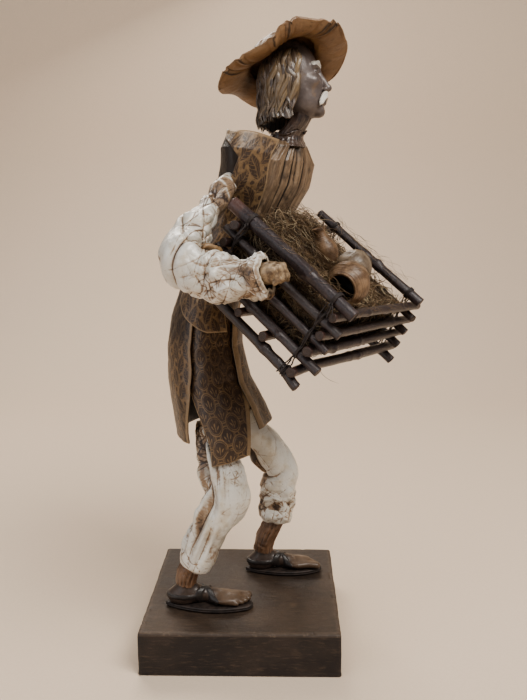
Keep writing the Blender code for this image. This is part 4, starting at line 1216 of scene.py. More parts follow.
paper_tube(
    "trouser_right_paper",
    [(-24.8, -22.0, 42.6, 8.6, 8.4), (-20.0, -22.0, 56.0, 9.8, 9.4),
     (-13.6, -22.3, 70.0, 10.4, 9.8), (-8.2, -22.3, 83.0, 11.2, 10.4),
     (-9.2, -19.6, 97.0, 11.4, 10.2), (-12.0, -16.6, 110.0, 10.6, 9.6),
     (-14.0, -13.6, 121.0, 9.6, 9.2)],
    330, 250, right_trouser_shift, IVORY, "white_paper", "trouser_right",
    creases=[
        (14.0, 5, 0.45, lambda along, facing:
            0.38 - 0.3 * near(facing, 0.55, 0.6) * bell(along, 0.4, 0.25), 0.022),
        (6.5, 6, 0.45, lambda along, facing:
            0.08 + 0.45 * rise(0.5, 0.7, along) + 0.25 * bell(along, 0.1, 0.1), 0.04),
    ],
    stain=right_trouser_stain,
)


def left_trouser_shift(pts, along, facing):
    wide, mid, fine = facets(pts, (12.0, 15), (5.6, 16), (2.8, 17))
    low = bell(along, 0.20, 0.16)
    out = 1.7 * wide + (2.4 * mid + 0.8 * fine) * low + 0.35 * mid * (1 - low)
    groove = tent(angle_gap(facing, -1.1 + 0.4 * along), 0.35)
    out = out - 1.6 * rise(0.35, 0.6, along) * groove
    # fold behind the knee
    knee = bell(along, 0.50 + 0.02 * sin(facing * 3), 0.022)
    out = out - 2.6 * knee * rise(0.9, -0.6, facing)
    # hem
    out = out + 0.8 * bell(along, 0.08, 0.05) - 2.2 * rise(0.03, 0.0, along)
    return out + 0.5 * sin(facing * 7) * rise(0.06, 0.0, along)


def left_trouser_stain(pts, along, facing):
    low = 0.95 * bell(along, 0.17, 0.07) * (0.3 + fbm(pts, 3.0, 5) * 1.6)
    high = 0.9 * rise(0.48, 0.8, along) * rise(-0.1, -1.0, facing)
    mottle = 0.25 * (0.5 + fbm(pts * (1, 1, 0.35), 7.0, 35))
    return low + high + mottle + 0.5 * rise(-0.5, -1.2, facing)


paper_tube(
    "trouser_left_paper",
    [(16.6, 20.0, 52.6, 8.8, 8.6), (18.0, 20.0, 63.0, 9.8, 9.4), (19.2, 19.8, 74.0, 9.9, 9.4),
     (18.8, 19.4, 83.0, 10.4, 9.9), (12.4, 17.6, 96.0, 10.4, 9.8),
     (4.4, 14.8, 107.0, 9.6, 9.6), (-2.4, 13.0, 115.5, 9.0, 9.2)],
    300, 230, left_trouser_shift, IVORY, "white_paper", "trouser_left",
    creases=[
        (12.0, 15, 0.45, lambda along, facing: 0.20, 0.022),
        (5.6, 16, 0.45, lambda along, facing: 0.03 + 0.65 * bell(along, 0.2, 0.17), 0.045),
    ],
    stain=left_trouser_stain,
)

# ------------------------------------------------------------------ crate
# Crate coordinates: s runs forward from the front near corner, w across to the far side,
# h up from the top rails, square to both.
CORNER = vec(49.0, -80.0, 181.2)
FORWARD = unit((0.665, -0.430, -0.611))
ACROSS = vec(0.523, 0.852, -0.032)
ACROSS = unit(ACROSS - FORWARD * ACROSS.dot(FORWARD))
UPWARD = np.cross(FORWARD, ACROSS)
WIDE = [78.0, 82.0, 86.5, 91.0, 95.0]  # w of the far rails, top to bottom


def crate(s, w, h):
    s, w, h = [np.asarray(value, float)[..., None] for value in (s, w, h)]
    return CORNER + s * FORWARD + w * ACROSS + h * UPWARD


def twig(name, start, end, radius, seed, bend, knots, red_start=0.0, red_end=0.0, tip=None):
    """A knotty twig with slanted cuts; tip bends its far end, red tints its ends."""
    rng = np.random.default_rng(seed)
    length = np.linalg.norm(end - start)
    rows, cols = max(24, int(length / 0.75)), 26
    t = linspace(0, 1, rows)
    axis = unit(end - start)
    first = unit(np.cross(axis, (0.3, 0.2, 1.0)))
    second = np.cross(axis, first)
    sag1, sag2 = rng.uniform(-1, 1, 2) * bend
    path = start + np.outer(t * length, axis)
    path += np.outer(sin(t * pi) * sag1 + 0.35 * bend * sin(t * 7 + seed), first)
    path += np.outer(sin(t * pi) * sag2 + 0.3 * bend * sin(t * 5.3 + 2 * seed), second)
    if tip is not None:
        path = path + rise(0.80, 1.0, t)[:, None] ** 1.5 * tip
    tangents, sides, overs = frames_along(path, up=second)
    along, angle = grid(t * length, circle(cols))
    taper = 1 + 0.07 * rng.uniform(-1, 1) * (t - 0.5) * 2
    rad = radius * 0.96 * taper[:, None]
    phase = rng.uniform(0, 6.28, 3)
    rad = rad * (1 + 0.035 * cos(2 * angle + phase[0] + along * 0.03)
                 + 0.02 * cos(3 * angle + phase[1]))
    for _ in range(knots):
        place = rng.uniform(0.08, 0.92) * length
        turn = rng.uniform(0, 6.28)
        bulge = 0.35 + near(angle, turn, 0.7) * 1.2
        rad = rad + radius * 0.20 * bell(along, place, radius * 0.75) * bulge
    skin = stack(cos(angle) * 1.3 * radius, sin(angle) * 1.3 * radius, along * 0.35 + seed * 9)
    rad = rad + 0.045 * radius * fbm(skin, 1.3, seed)
    wander = vnoise(stack(along * 0.12, along * 0, angle), 1.0, seed + 3)
    rad = rad + 0.022 * radius * sin(angle * 9 + 2.5 * wander)
    pts = ring_points(path, sides, overs, rad * cos(angle), rad * sin(angle))
    slant = rng.uniform(-0.25, 0.25, 2)
    tone = rng.uniform(0, 1)

    # each end closes with four shrinking rings: scale, step outwards
    ends = ((0.985, 0.12), (0.93, 0.22), (0.62, 0.20), (0.28, 0.16))

    def end_rings(row, sign):
        return [path[row] + (pts[row] - path[row]) * scale + tangents[row] * out * sign
                for scale, out in ends]

    rings = np.concatenate([end_rings(0, -1)[::-1], pts, end_rings(-1, 1)])
    for part, row in ((slice(0, 4), 0), (slice(-4, None), -1)):
        tilt = (rings[part] - path[row]) @ sides[0]
        rings[part] += tilt[..., None] * (tangents[row] * slant[row])
    cut = np.array([1.0 if scale < 0.95 else 0.0 for scale, _ in ends])
    cut_radius = np.array([radius * scale for scale, _ in ends])

    def spread(first_rows, middle, last_rows):
        return np.repeat(np.concatenate([first_rows, middle, last_rows]), cols)

    blank = np.zeros(rows)
    run = spread(np.zeros(4), t * length, np.full(4, length))
    red = red_start * bell(run, 0, 9.0) + red_end * bell(length - run, 0, 5.0)
    verts, faces = closed_tube(rings)
    make("twig_" + name, verts, faces, BARK, "bark", name, {
        "su": capped(run, 0, length),
        "sv": capped(np.tile(circle(cols), rows + 8)),
        "end": capped(spread(cut[::-1], blank, cut), 1, 1),
        "er": capped(spread(cut_radius[::-1], blank, cut_radius)),
        "tone": np.full(len(verts), tone),
        "red": capped(red),
    })


# tag, h, radius, s of the back end, s of the front end, s of the far rail's front end
SIDE_RAILS = (
    ("a", 1.4, 3.1, -75, 2.0, -0.6), ("b", -9.3, 2.1, -71, 2.2, 0.6),
    ("c", -18.6, 2.1, -70.5, 1.8, 0.6), ("d", -28.2, 2.4, -70.5, 4.0, 0.6),
    ("e", -38.5, 2.4, -71.5, -0.6, 2.0),
)
# tag, h, radius
END_RAILS = (("a", -4.4, 2.2), ("b", -13.95, 2.2), ("c", -23.25, 2.2), ("d", -33.35, 2.4))
SLATS = (-25.0, -41.0, -55.0)  # s of the three slats under the straw
RAIL_HEIGHTS = [row[1] for row in SIDE_RAILS]


def crate_twigs():
    for k, (tag, h, radius, back, front, far_front) in enumerate(SIDE_RAILS):
        tip = -2.2 * UPWARD + 1.0 * FORWARD if tag == "e" else None
        twig("rail_near_" + tag, crate(back, 0, h), crate(front, 0, h), radius, 20 + k,
             bend=0.35, knots=3, red_start=1.0 if tag == "a" else 0.2, red_end=0.35, tip=tip)
        slim = min(radius, 2.4)
        far_h = h - (radius - slim)
        twig("rail_far_" + tag, crate(max(back, -73.5), WIDE[k], far_h),
             crate(far_front, WIDE[k], far_h), slim, 40 + k, bend=0.35, knots=4, red_end=0.4)
    for k, (tag, h, radius) in enumerate(END_RAILS):
        wide = (WIDE[k] + WIDE[k + 1]) / 2 + 3.0
        twig("rail_front_" + tag, crate(-4.0, wide + 4.6 - 0.4 * k, h),
             crate(-4.0, -3.4 - 0.3 * k, h), radius, 60 + k, bend=0.45, knots=3,
             red_start=0.55, red_end=0.55, tip=-2.0 * UPWARD if tag == "d" else None)
        twig("rail_back_" + tag, crate(-66.5, -3.8, h), crate(-66.5, wide + 2.4, h), radius,
             70 + k, bend=0.35, knots=2, red_start=0.5)
    for k, s in enumerate(SLATS):
        twig(f"slat_{k + 1}", crate(s, -3.2 - 0.5 * k, -33.35),
             crate(s, WIDE[4] + 3.4, -33.35), 2.2, 80 + k, bend=0.35, knots=3, red_start=0.8)


crate_twigs()


def cord_tube(points, radius):
    """Two-ply cord: the section has two lobes that turn along the path."""
    points = np.array(points)
    path = smooth_path(points, max(30, int(arc_lengths(points)[-1] / 0.30)))
    _, sides, overs = frames_along(path)
    along, angle = grid(arc_lengths(path), circle(12))
    rad = radius * (0.86 + 0.20 * np.abs(cos(angle - along * 2.2)))
    return closed_tube(ring_points(path, sides, overs, rad * cos(angle), rad * sin(angle)))


def lashing(name, s, far, seed):
    """Cord round one corner: turns on the top rail, runs down the rails, and a knot."""
    rng = np.random.default_rng(seed)
    out = 1 if far else -1
    top_w, top_h, reach = (WIDE[0], 0.7, 2.4 + 0.42) if far else (0.0, 1.4, 3.1 + 0.42)

    def wall(h):
        if not far:
            return 0.0
        return float(np.interp(-h, [-1.0] + [-rail for rail in RAIL_HEIGHTS[1:]], WIDE))

    parts = []
    for turn in range(3):
        pts = []
        for i in range(17):
            t = TURN * i / 14
            pts.append(crate(s + 0.55 * turn - 0.5 + 0.10 * sin(i * 1.3 + turn),
                             top_w + out * reach * cos(t), top_h + reach * sin(t)))
        parts.append(cord_tube(pts, 0.34))
    # runs down the corner, over each rail
    for run, lean in enumerate((0.0, 1.0, -1.1)):
        pts = []
        for h in linspace(-1.0, -40.5, 22):
            gap = min(abs(h - rail) for rail in RAIL_HEIGHTS)
            off = 2.75 if gap < 2.6 else 2.75 - 0.9 * min(1.0, (gap - 2.6) / 2.0)
            pts.append(crate(s + lean * sin(h * 0.16 + run) * 1.2 + 0.45 * lean,
                             wall(h) + out * (off + 0.10 * run), h))
        parts.append(cord_tube(pts, 0.30))
    # small turns round each lower rail
    for h in RAIL_HEIGHTS[1:]:
        for turn in range(2):
            pts = []
            for i in range(15):
                t = TURN * i / 13
                pts.append(crate(s + 0.5 * turn + 0.12 * sin(i * 1.7),
                                 wall(h) + out * 2.62 * cos(t), h + 2.62 * sin(t)))
            parts.append(cord_tube(pts, 0.28))
    knot = crate(s + 0.6, top_w + out * (reach + 0.25), top_h - 1.8)
    parts.append(cord_tube(
        [knot + 0.8 * (cos(a) * FORWARD + sin(a) * UPWARD) + out * ACROSS * 0.35 * sin(2 * a)
         for a in linspace(0, 7.6, 20)], 0.33))
    for _ in range(2):
        end = unit(FORWARD * rng.uniform(-1, 1) - vec(0, 0, 1) * 0.8 + ACROSS * out * 0.5)
        parts.append(cord_tube([knot, knot + end * 1.6 + UPWARD * 0.6,
                                knot + end * 3.4 - UPWARD * 0.4,
                                knot + end * 4.6 - UPWARD * 1.4], 0.24))
    verts, faces, _ = join(parts)
    make("cord_" + name, verts, faces, CORD, "cord", name)


lashing("lashing_front_near", -8.4, False, 1)
lashing("lashing_back_near", -61.6, False, 2)
lashing("lashing_front_far", -8.4, True, 3)
lashing("lashing_back_far", -61.6, True, 4)

# ------------------------------------------------------------------ pots
# Profiles: place along the axis, radius; outside from the foot to the lip, then inside.
BOWL = [(-7.6, 0.0), (-7.6, 4.0), (-6.6, 6.4), (-4.0, 8.6), (-0.6, 9.7), (2.6, 9.4),
        (5.2, 7.9), (6.3, 7.0), (7.2, 7.2), (7.4, 6.6), (6.4, 6.0), (4.6, 6.6), (1.6, 7.9),
        (-1.4, 8.1), (-4.0, 6.9), (-5.8, 4.6), (-6.2, 0.0)]
JUG = [(-8.4, 0.0), (-8.4, 2.8), (-7.4, 4.4), (-4.4, 5.6), (-1.2, 5.5), (1.8, 4.3),
       (4.2, 3.0), (6.4, 2.7), (8.0, 3.3), (8.4, 2.8), (6.8, 1.8), (4.4, 1.9), (2.0, 3.0),
       (-0.8, 4.2), (-4.0, 4.4), (-6.4, 3.2), (-7.0, 0.0)]
ROUND = [(-7.4, 0.0), (-7.4, 3.4), (-6.4, 5.8), (-3.8, 7.9), (-0.4, 8.8), (2.8, 8.4),
         (5.4, 6.9), (6.6, 5.4), (7.6, 5.6), (7.8, 5.0), (6.8, 4.4), (4.8, 5.5), (1.8, 7.0),
         (-1.2, 7.2), (-3.8, 6.2), (-5.6, 4.0), (-6.0, 0.0)]
LIP = 9  # number of the profile point at the lip
# centre in crate coordinates, axis, profile, material, radius kept clear of straw,
# radius the loose fibres lie on
POTS = {
    "pot_near": ((-17.0, 22.8, 2.6), (-0.52, -0.80, -0.30), BOWL, POT_BROWN, 9.7, 9.7),
    "pot_far": ((-28.6, 47.0, 1.0), (0.35, 0.30, -0.75), ROUND, POT_GREY, 8.8, 8.8),
    "jug": ((-41.0, 31.5, 4.6), (-0.32, -0.10, 0.94), JUG, POT_GLOSS, 8.9, 5.6),
}


def pot(name):
    centre, axis, outline, clay, _, _ = POTS[name]
    centre, axis = crate(*centre), unit(axis)
    rows, cols = 150, 120
    profile = smooth_path(outline, rows)
    side = unit(np.cross(axis, (0.3, 0.2, 1.0)))
    over = np.cross(axis, side)
    depth, angle = grid(profile[:, 0], circle(cols))
    rad = grid(maximum(profile[:, 1], 0.05), circle(cols))[0]
    station = grid(linspace(0, len(outline) - 1, rows), circle(cols))[0]
    inner = rise(LIP + 0.2, LIP + 1.5, station)
    marks = 0.07 * sin(depth * 7.0 + 0.5 * sin(angle)) + 0.05 * sin(depth * 12.0 + 1.0)
    rad = (rad * (1 + 0.012 * cos(angle + 1) + 0.008 * cos(3 * angle))
           + marks * (rad > 1.5) * (1 - inner))
    # two shallow scored bands
    for band in (3.0, 4.1):
        rad = rad - 0.16 * bell(depth, band, 0.28) * (1 - inner)
    spine = centre + axis * profile[:, :1]
    pts = ring_points(spine, side, over, rad * cos(angle), rad * sin(angle))
    pts = pts + unit(pts - centre) * (0.10 * fbm(pts, 2.2, 3))[..., None]
    verts, faces = closed_tube(pts)
    make("turned_" + name, verts, faces, clay, "pot", name, {
        "pd": capped(depth), "pa": capped(np.abs(angle - pi)), "pin": capped(inner, 0, 1),
    }, body=name)


for pot_name in POTS:
    pot(pot_name)

# ------------------------------------------------------------------ straw
STRAW_BOX = (-63.2, -7.4, 4.0, WIDE[0] - 3.6)  # s and w limits of the pack
PACK_FLOOR = -30.2


def pot_floor(s, w):
    """Greatest pack height that leaves room for the pots."""
    limit = np.full(np.shape(s), 99.0)
    for (pot_s, pot_w, pot_h), _, _, _, room, _ in POTS.values():
        under = np.hypot(s - pot_s, w - pot_w) < room + 2.4
        limit = np.where(under, minimum(limit, pot_h - 12.6), limit)
    return limit


def nest_height(s, w):
    h = -7.0 + 13.0 * exp(-(((s + 56) / 21) ** 2) - ((w - 30) / 30) ** 2)
    return h + 0.8 * sin(s * 0.55 + 1.3 * sin(w * 0.21)) + 0.6 * sin(w * 0.5 + s * 0.13)


def nest():
    s0, s1, w0, w1 = STRAW_BOX
    rows, cols, layers = 150, 190, 26
    s, w = grid(linspace(s0, s1, rows), linspace(w0, w1, cols))
    rim = minimum(minimum(s - s0, s1 - s), minimum(w - w0, w1 - w))
    h = nest_height(s, w) - 4.0 * rise(3.0, 0.0, rim)
    h = blur(minimum(h, pot_floor(s, w)), 3)
    flat = stack(s, w, s * 0)
    fuzz = fbm(flat * (0.35, 1.0, 1), 1.2, 5) * 0.9 + fbm(flat * (1.0, 0.35, 1), 1.1, 8) * 0.9
    top = crate(s, w, h + fuzz - 0.8)
    low = crate(s, w, np.where(rim < 5.5, PACK_FLOOR, maximum(PACK_FLOOR, h - 5.0)))
    verts = np.concatenate([top.reshape(-1, 3), low.reshape(-1, 3)])
    count = rows * cols
    ring, after = rim_ring(rows, cols)
    # the side walls are rough and bulge a little
    walls = []
    for k in range(1, layers):
        wall = verts[ring] * (1 - k / layers) + verts[count + ring] * k / layers
        normals = unit(np.cross(verts[after] - verts[ring], UPWARD))
        if np.einsum("ij,ij->i", normals, wall - wall.mean(axis=0)).mean() < 0:
            normals = -normals
        bulge = (0.9 * fbm(wall, 2.2, 15) + 0.35)[:, None]
        walls.append(wall + normals * bulge * min(1, k / 3, (layers - k) / 3))
    base, size = len(verts), len(ring)
    verts = np.concatenate([verts] + walls)
    rings = [ring] + [base + k * size + np.arange(size) for k in range(layers - 1)]
    rings.append(count + ring)
    faces = [grid_faces(rows, cols), grid_faces(rows, cols, False, count, True)]
    for upper, lower in zip(rings, rings[1:]):
        faces.append(stack(np.roll(upper, -1), upper, lower, np.roll(lower, -1)))
    make("straw_pack", verts, outward(verts, faces), STRAW_PACK, "straw", "straw_nest")


nest()


def make_strands(name, paths, radius, shades, body="figure"):
    """Three-sided tapering tubes along paths (strands, points, 3)."""
    count, steps = paths.shape[:2]
    tangents = unit(np.gradient(paths, axis=1) + 1e-9)
    side = unit(np.cross(tangents, vec(0.21, 0.43, 0.88)) + 1e-9)
    over = np.cross(tangents, side)
    t = linspace(0, 1, steps)
    taper = minimum(1, 0.35 + 3.0 * minimum(t, 1 - t))
    rad = (radius[:, None] * taper[None])[..., None]
    verts = np.stack([paths + (side * cos(a) + over * sin(a)) * rad for a in circle(3)],
                     axis=2)
    base = (np.arange(count) * steps * 3)[:, None, None]
    i = base + np.arange(steps - 1)[None, :, None] * 3
    j = np.arange(3)[None, None, :]
    k = (j + 1) % 3
    quads = stack(i + j, i + k, i + 3 + k, i + 3 + j).reshape(-1, 4)
    ends = base[:, 0]
    caps = np.concatenate([ends + np.array([[0, 2, 1]]),
                           ends + (steps - 1) * 3 + np.array([[0, 1, 2]])])
    lengths = np.cumsum(np.linalg.norm(np.diff(paths, axis=1), axis=-1), axis=1)
    arc = np.concatenate([np.zeros((count, 1)), lengths], axis=1)
    attrs = {"su": np.repeat(arc.ravel(), 3), "rnd": np.repeat(shades, steps * 3)}
    make(name, verts.reshape(-1, 3), [quads, caps], STRAW, "straw", attrs=attrs, body=body)


def strands(rng, steps, start, heading, axis, length, curl, wave):
    """Curly fibres in crate coordinates; they bend mostly in the plane across axis."""
    count = len(start)
    run = rng.uniform(*length, count)
    bend = rng.normal(0, curl, count)
    change = rng.normal(0, curl * 0.8, count)
    t = linspace(-0.5, 0.5, steps)
    turn = bend[:, None] * run[:, None] * t + change[:, None] * run[:, None] * t**2 * 2
    axis = np.broadcast_to(vec(*axis), heading.shape)
    side = unit(np.cross(axis, heading))
    step = heading[:, None] * cos(turn)[..., None] + side[:, None] * sin(turn)[..., None]
    phase = rng.uniform(0, 6.28, (count, 1))
    step = step + axis[:, None] * (wave * cos(t[None] * 9 + phase))[..., None]
    paths = np.cumsum(unit(step) * (run / steps)[:, None, None], axis=1)
    return paths - paths[:, steps // 2][:, None] + start[:, None]


def clear_pots(paths):
    """Pushes crate-space points out of the room each pot needs on its way up."""
    out = paths.copy()
    for (pot_s, pot_w, pot_h), _, _, _, room, _ in POTS.values():
        room = room + 0.5
        ds, dw = out[..., 0] - pot_s, out[..., 1] - pot_w
        gap = np.hypot(ds, dw) + 1e-6
        inside = (gap < room) & (out[..., 2] > pot_h - 12.4)
        push = np.where(inside, room / gap, 1.0)
        out[..., 0] = pot_s + ds * push
        out[..., 1] = pot_w + dw * push
    return out


def lay_straw(rng, name, paths, radii=(0.085, 0.20), shades=(0, 1), boxed=True):
    paths = clear_pots(paths)
    if boxed:
        # stay within the crate, between the side rails
        far = WIDE[0] - 2.8 + clip(-paths[..., 2], 0, 30) * 0.4
        paths[..., 0] = clip(paths[..., 0], -64.2, -6.2)
        paths[..., 1] = clip(paths[..., 1], 2.6, far)
    count = len(paths)
    shade_of = rng.uniform(*shades, count)
    world = crate(paths[..., 0], paths[..., 1], paths[..., 2])
    make_strands(name, world, rng.uniform(*radii, count), shade_of)


def flat_headings(rng, count):
    a = rng.uniform(0, TURN, count)
    return stack(cos(a), sin(a), rng.normal(0, 0.12, count))


def straw():
    """The order of the random draws is part of the design."""
    rng = np.random.default_rng(77)
    up = (0, 0, 1)

    # top of the heap
    count = 2100
    s, w = rng.uniform(-62, -9, count), rng.uniform(5, 73, count)
    back = rng.uniform(0, 1, count) < 0.45
    s = np.where(back, rng.normal(-48, 9, count), s)
    w = np.where(back, rng.normal(27, 17, count), w)
    s, w = clip(s, -63, -8), clip(w, 4, 74)
    h = nest_height(s, w) + rng.uniform(-0.6, 1.7, count)
    heading = unit(flat_headings(rng, count))
    paths = strands(rng, 15, stack(s, w, h), heading, up, (12, 34), 0.085, 0.22)
    floor = nest_height(paths[..., 0], paths[..., 1])
    lifted = floor + rng.uniform(0.0, 1.6, count)[:, None]
    paths[..., 2] = maximum(paths[..., 2], floor - 0.3) * 0.55 + lifted * 0.45
    lay_straw(rng, "straw_top", paths)

    # high loops at the back, against the shirt
    count = 260
    s, w = rng.normal(-55, 5.5, count), rng.normal(22, 12, count)
    start = stack(s, w, nest_height(s, w) + rng.uniform(0.5, 4.5, count))
    heading = unit(flat_headings(rng, count) + (0, 0, 0.15))
    paths = strands(rng, 20, start, heading, up, (14, 42), 0.13, 0.4)
    lay_straw(rng, "straw_loops", paths, radii=(0.07, 0.14))

    # near side, seen between the rails
    count = 1150
    start = stack(rng.uniform(-63, -8, count), rng.uniform(2.7, 4.6, count),
                  rng.uniform(-30, -5, count))
    a = rng.normal(0.2, 0.9, count)
    heading = stack(cos(a), np.zeros(count), sin(a))
    paths = strands(rng, 12, start, heading, (0, 1, 0), (8, 24), 0.09, 0.05)
    paths[..., 2] = clip(paths[..., 2], -31.5, -2.0)
    paths[..., 1] = clip(paths[..., 1], 2.55, 5.5)
    lay_straw(rng, "straw_near_side", paths)

    # front, back, far side and underside
    count = 560
    start = stack(rng.uniform(-8.6, -6.6, count), rng.uniform(4, 78, count),
                  rng.uniform(-30, -5, count))
    a = rng.normal(0, 0.9, count)
    heading = stack(np.zeros(count), cos(a), sin(a))
    sets = [strands(rng, 12, start, heading, (1, 0, 0), (8, 22), 0.09, 0.05)]
    start = stack(rng.uniform(-64, -62.2, count), rng.uniform(4, 78, count),
                  rng.uniform(-30, -2, count))
    sets.append(strands(rng, 12, start, heading, (1, 0, 0), (8, 22), 0.09, 0.05))
    z = rng.uniform(-30, -5, count)
    start = stack(rng.uniform(-63, -8, count), 74.5 + clip(-z, 0, 30) * 0.22, z)
    heading = stack(cos(a), np.zeros(count), sin(a))
    sets.append(strands(rng, 12, start, heading, (0, 1, 0), (8, 24), 0.09, 0.05))
    start = stack(rng.uniform(-63, -8, count), rng.uniform(5, 74, count),
                  rng.uniform(-31.0, -30.0, count))
    heading = unit(flat_headings(rng, count) * (1, 1, 0))
    sets.append(strands(rng, 12, start, heading, up, (8, 24), 0.09, 0.04))
    paths = np.concatenate(sets)
    paths[..., 2] = clip(paths[..., 2], -31.6, 8.0)
    lay_straw(rng, "straw_sides", paths)

    # wisps over the near, front and far rails
    start = np.array([(rng.uniform(-60, -8), rng.uniform(-1, 4), rng.uniform(2.5, 6.5))
                      for _ in range(46)])
    heading = unit(stack(rng.normal(0.7, 0.4, 46), rng.normal(0, 0.6, 46),
                         rng.normal(0.05, 0.15, 46)))
    near_wisps = strands(rng, 16, start, heading, unit((0.2, 0.3, 1)), (8, 22), 0.12, 0.25)
    # keep them off the near top rail
    off = np.hypot(near_wisps[..., 1], near_wisps[..., 2] - 1.4)
    push = np.where(off < 3.6, 3.6 / maximum(off, 0.3), 1.0)
    near_wisps[..., 1] = near_wisps[..., 1] * push
    near_wisps[..., 2] = 1.4 + (near_wisps[..., 2] - 1.4) * push
    start = stack(rng.uniform(-9, -2, 34), rng.uniform(10, 74, 34), rng.uniform(-2.0, 1.0, 34))
    heading = unit(stack(rng.normal(0.4, 0.6, 34), rng.normal(0.6, 0.5, 34),
                         rng.normal(0.0, 0.3, 34)))
    front_wisps = strands(rng, 16, start, heading, unit((0.3, 0.2, 1)), (7, 18), 0.12, 0.3)
    start = stack(rng.uniform(-60, -12, 40), rng.uniform(70, 79, 40), rng.uniform(2.8, 6.0, 40))
    heading = unit(stack(rng.normal(0.8, 0.3, 40), rng.normal(0, 0.4, 40),
                         rng.normal(0.0, 0.2, 40)))
    far_wisps = strands(rng, 16, start, heading, unit((0.2, 0.3, 1)), (7, 20), 0.12, 0.25)
    lay_straw(rng, "straw_wisps", np.concatenate([near_wisps, front_wisps, far_wisps]),
              radii=(0.055, 0.10), shades=(0.45, 0.9), boxed=False)


def hanging_straw():
    """Two fibres that hang below the crate: start, and offsets from it."""
    fibres = (
        (crate(-6.0, 22.0, -35.0),
         [(0, 0, 0), (0.6, 0, -3.0), (2.2, 0, -6.0), (5.5, 0, -8.6), (9.6, 0, -10.2)]),
        (crate(-30.0, -0.5, -36.2),
         [(0, 0, 0), (0.3, -0.4, -1.6), (1.3, -0.4, -2.4), (2.6, 0, -2.2), (3.2, 0, -1.2)]),
    )
    paths = np.array([smooth_path(start + np.array(steps), 24) for start, steps in fibres])
    make_strands("straw_hanging", paths, vec(0.10, 0.10), vec(0.5, 0.2))


def pot_wisps():
    """A few fibres lie over each pot and move with it."""
    rng = np.random.default_rng(5)
    for name, (centre, _, _, _, _, radius) in POTS.items():
        paths = []
        for _ in range(7 if name != "jug" else 3):
            rng.uniform(size=2)  # not used, but the later draws depend on it
            up = unit(UPWARD + rng.normal(0, 0.35, 3))
            side = unit(np.cross(up, rng.normal(0, 1, 3)))
            t = linspace(-0.9, 0.9, 18) * rng.uniform(0.5, 1.0)
            reach = radius + 0.35 + 0.5 * rng.uniform(0, 1) * t**2
            arc = up * cos(t)[:, None] + side * sin(t)[:, None]
            paths.append(crate(*centre) + arc * reach[:, None])
        count = len(paths)
        make_strands("fibres_on_" + name, np.array(paths), rng.uniform(0.06, 0.10, count),
                     rng.uniform(0.5, 0.85, count), body=name)


straw()
hanging_straw()
pot_wisps()

# ------------------------------------------------------------------ shirt, neck, vest, skirt
CHEST_YAW = radians(-33)
CHEST_FRONT = vec(cos(CHEST_YAW), sin(CHEST_YAW), 0)
CHEST_LEFT = vec(-sin(CHEST_YAW), cos(CHEST_YAW), 0)
# z, centre x, centre y, half width, half depth, share of the chest's turn
BODY = np.array([
    (127.5, -11.0, 0.0, 17.0, 12.0, 0.10), (142.0, -15.0, 0.5, 17.5, 13.0, 0.15),
    (158.0, -18.0, 1.5, 17.5, 12.5, 0.30), (174.0, -17.0, 3.0, 17.5, 11.5, 0.50),
    (190.0, -11.5, 6.0, 19.0, 11.0, 0.75), (206.0, -3.0, 9.5, 22.0, 11.0, 0.95),
    (222.0, 7.0, 12.5, 25.5, 11.5, 1.00), (238.0, 15.5, 13.5, 28.5, 12.0, 1.00),
    (250.0, 19.0, 13.5, 27.0, 11.5, 1.00), (258.0, 21.0, 12.5, 13.5, 9.0, 1.00),
])
# z, centre x, centre y, half width, half depth
SKIRT = np.array([
    (98.0, -8.0, 0.0, 33.0, 26.5), (112.0, -8.5, 0.0, 32.5, 25.0),
    (126.0, -12.5, 0.2, 30.0, 23.0), (140.0, -17.0, 0.5, 26.5, 20.5),
    (158.0, -18.8, 1.5, 24.0, 18.5), (172.0, -17.8, 3.0, 22.5, 17.2),
    (186.0, -13.5, 5.2, 23.6, 17.0),
])


def level(table, z):
    return [np.interp(z, table[:, 0], column) for column in table.T[1:]]


def body_points(z, angle, extra):
    """Points round the chest, extra millimetres off the core; angle 0 is the front."""
    x, y, half_width, half_depth, turned = level(BODY, z)
    yaw = CHEST_YAW * turned
    front = stack(cos(yaw), sin(yaw), 0 * yaw)
    left = stack(-sin(yaw), cos(yaw), 0 * yaw)
    return (stack(x, y, z) + front * ((half_depth + extra) * cos(angle))[..., None]
            + left * ((half_width + extra) * sin(angle))[..., None])


def shirt():
    rows, cols, top_rows = 240, 330, 14
    heights = np.concatenate([linspace(174, 257, rows - top_rows), np.full(top_rows, 257.0)])
    z, angle = grid(heights, linspace(-pi, pi, cols, endpoint=False))
    front = near(angle, 0.05, 0.75) * (1 - bell(z, 172, 14))
    arc = angle * 21.0
    wander = 1.8 * vnoise(stack(arc, z * 0.10, 0 * z), 9.0, 2)
    pleat = (zigzag((arc + wander) / 6.4) * 0.62
             + zigzag((arc * 1.13 + wander * 1.6 + z * 0.05) / 3.1) * 0.30
             + zigzag((arc * 0.9 - wander + z * 0.04) / 11.0) * 0.45)
    rough = crumple(stack(arc, z * 0.6, 0 * z), 8.0, 51)
    extra = (2.15 + pleat * (0.45 + 0.75 * front) + 0.45 * rough * (0.4 + front)
             + 0.5 * front)
    pts = body_points(z, angle, extra)
    # the top turns in to the neck
    turn_in = clip((np.arange(rows) - (rows - top_rows - 1)) / 14.0, 0, 1)[:, None]
    middle = vec(21.3, 12.4)
    shrink = 1 - 0.46 * rise(0, 1, turn_in)
    pts[..., :2] = middle + (pts[..., :2] - middle) * shrink[..., None]
    pts[..., 2] += 4.2 * sin(turn_in * pi / 2)
    fine, coarse = cavity(pts, True, 10)
    stain_and_shade = clip(fine * 5, -0.5, 1.2) * 0.6 + clip(coarse * 1.6, -0.5, 1.2) * 0.8
    shell("shirt_pleated", pts, 0.75, {"stain_and_shade": stain_and_shade, "pu": arc, "pv": z}, wrap=True,
          material=SHIRT, slot="brown_paper", replaces="tunic")


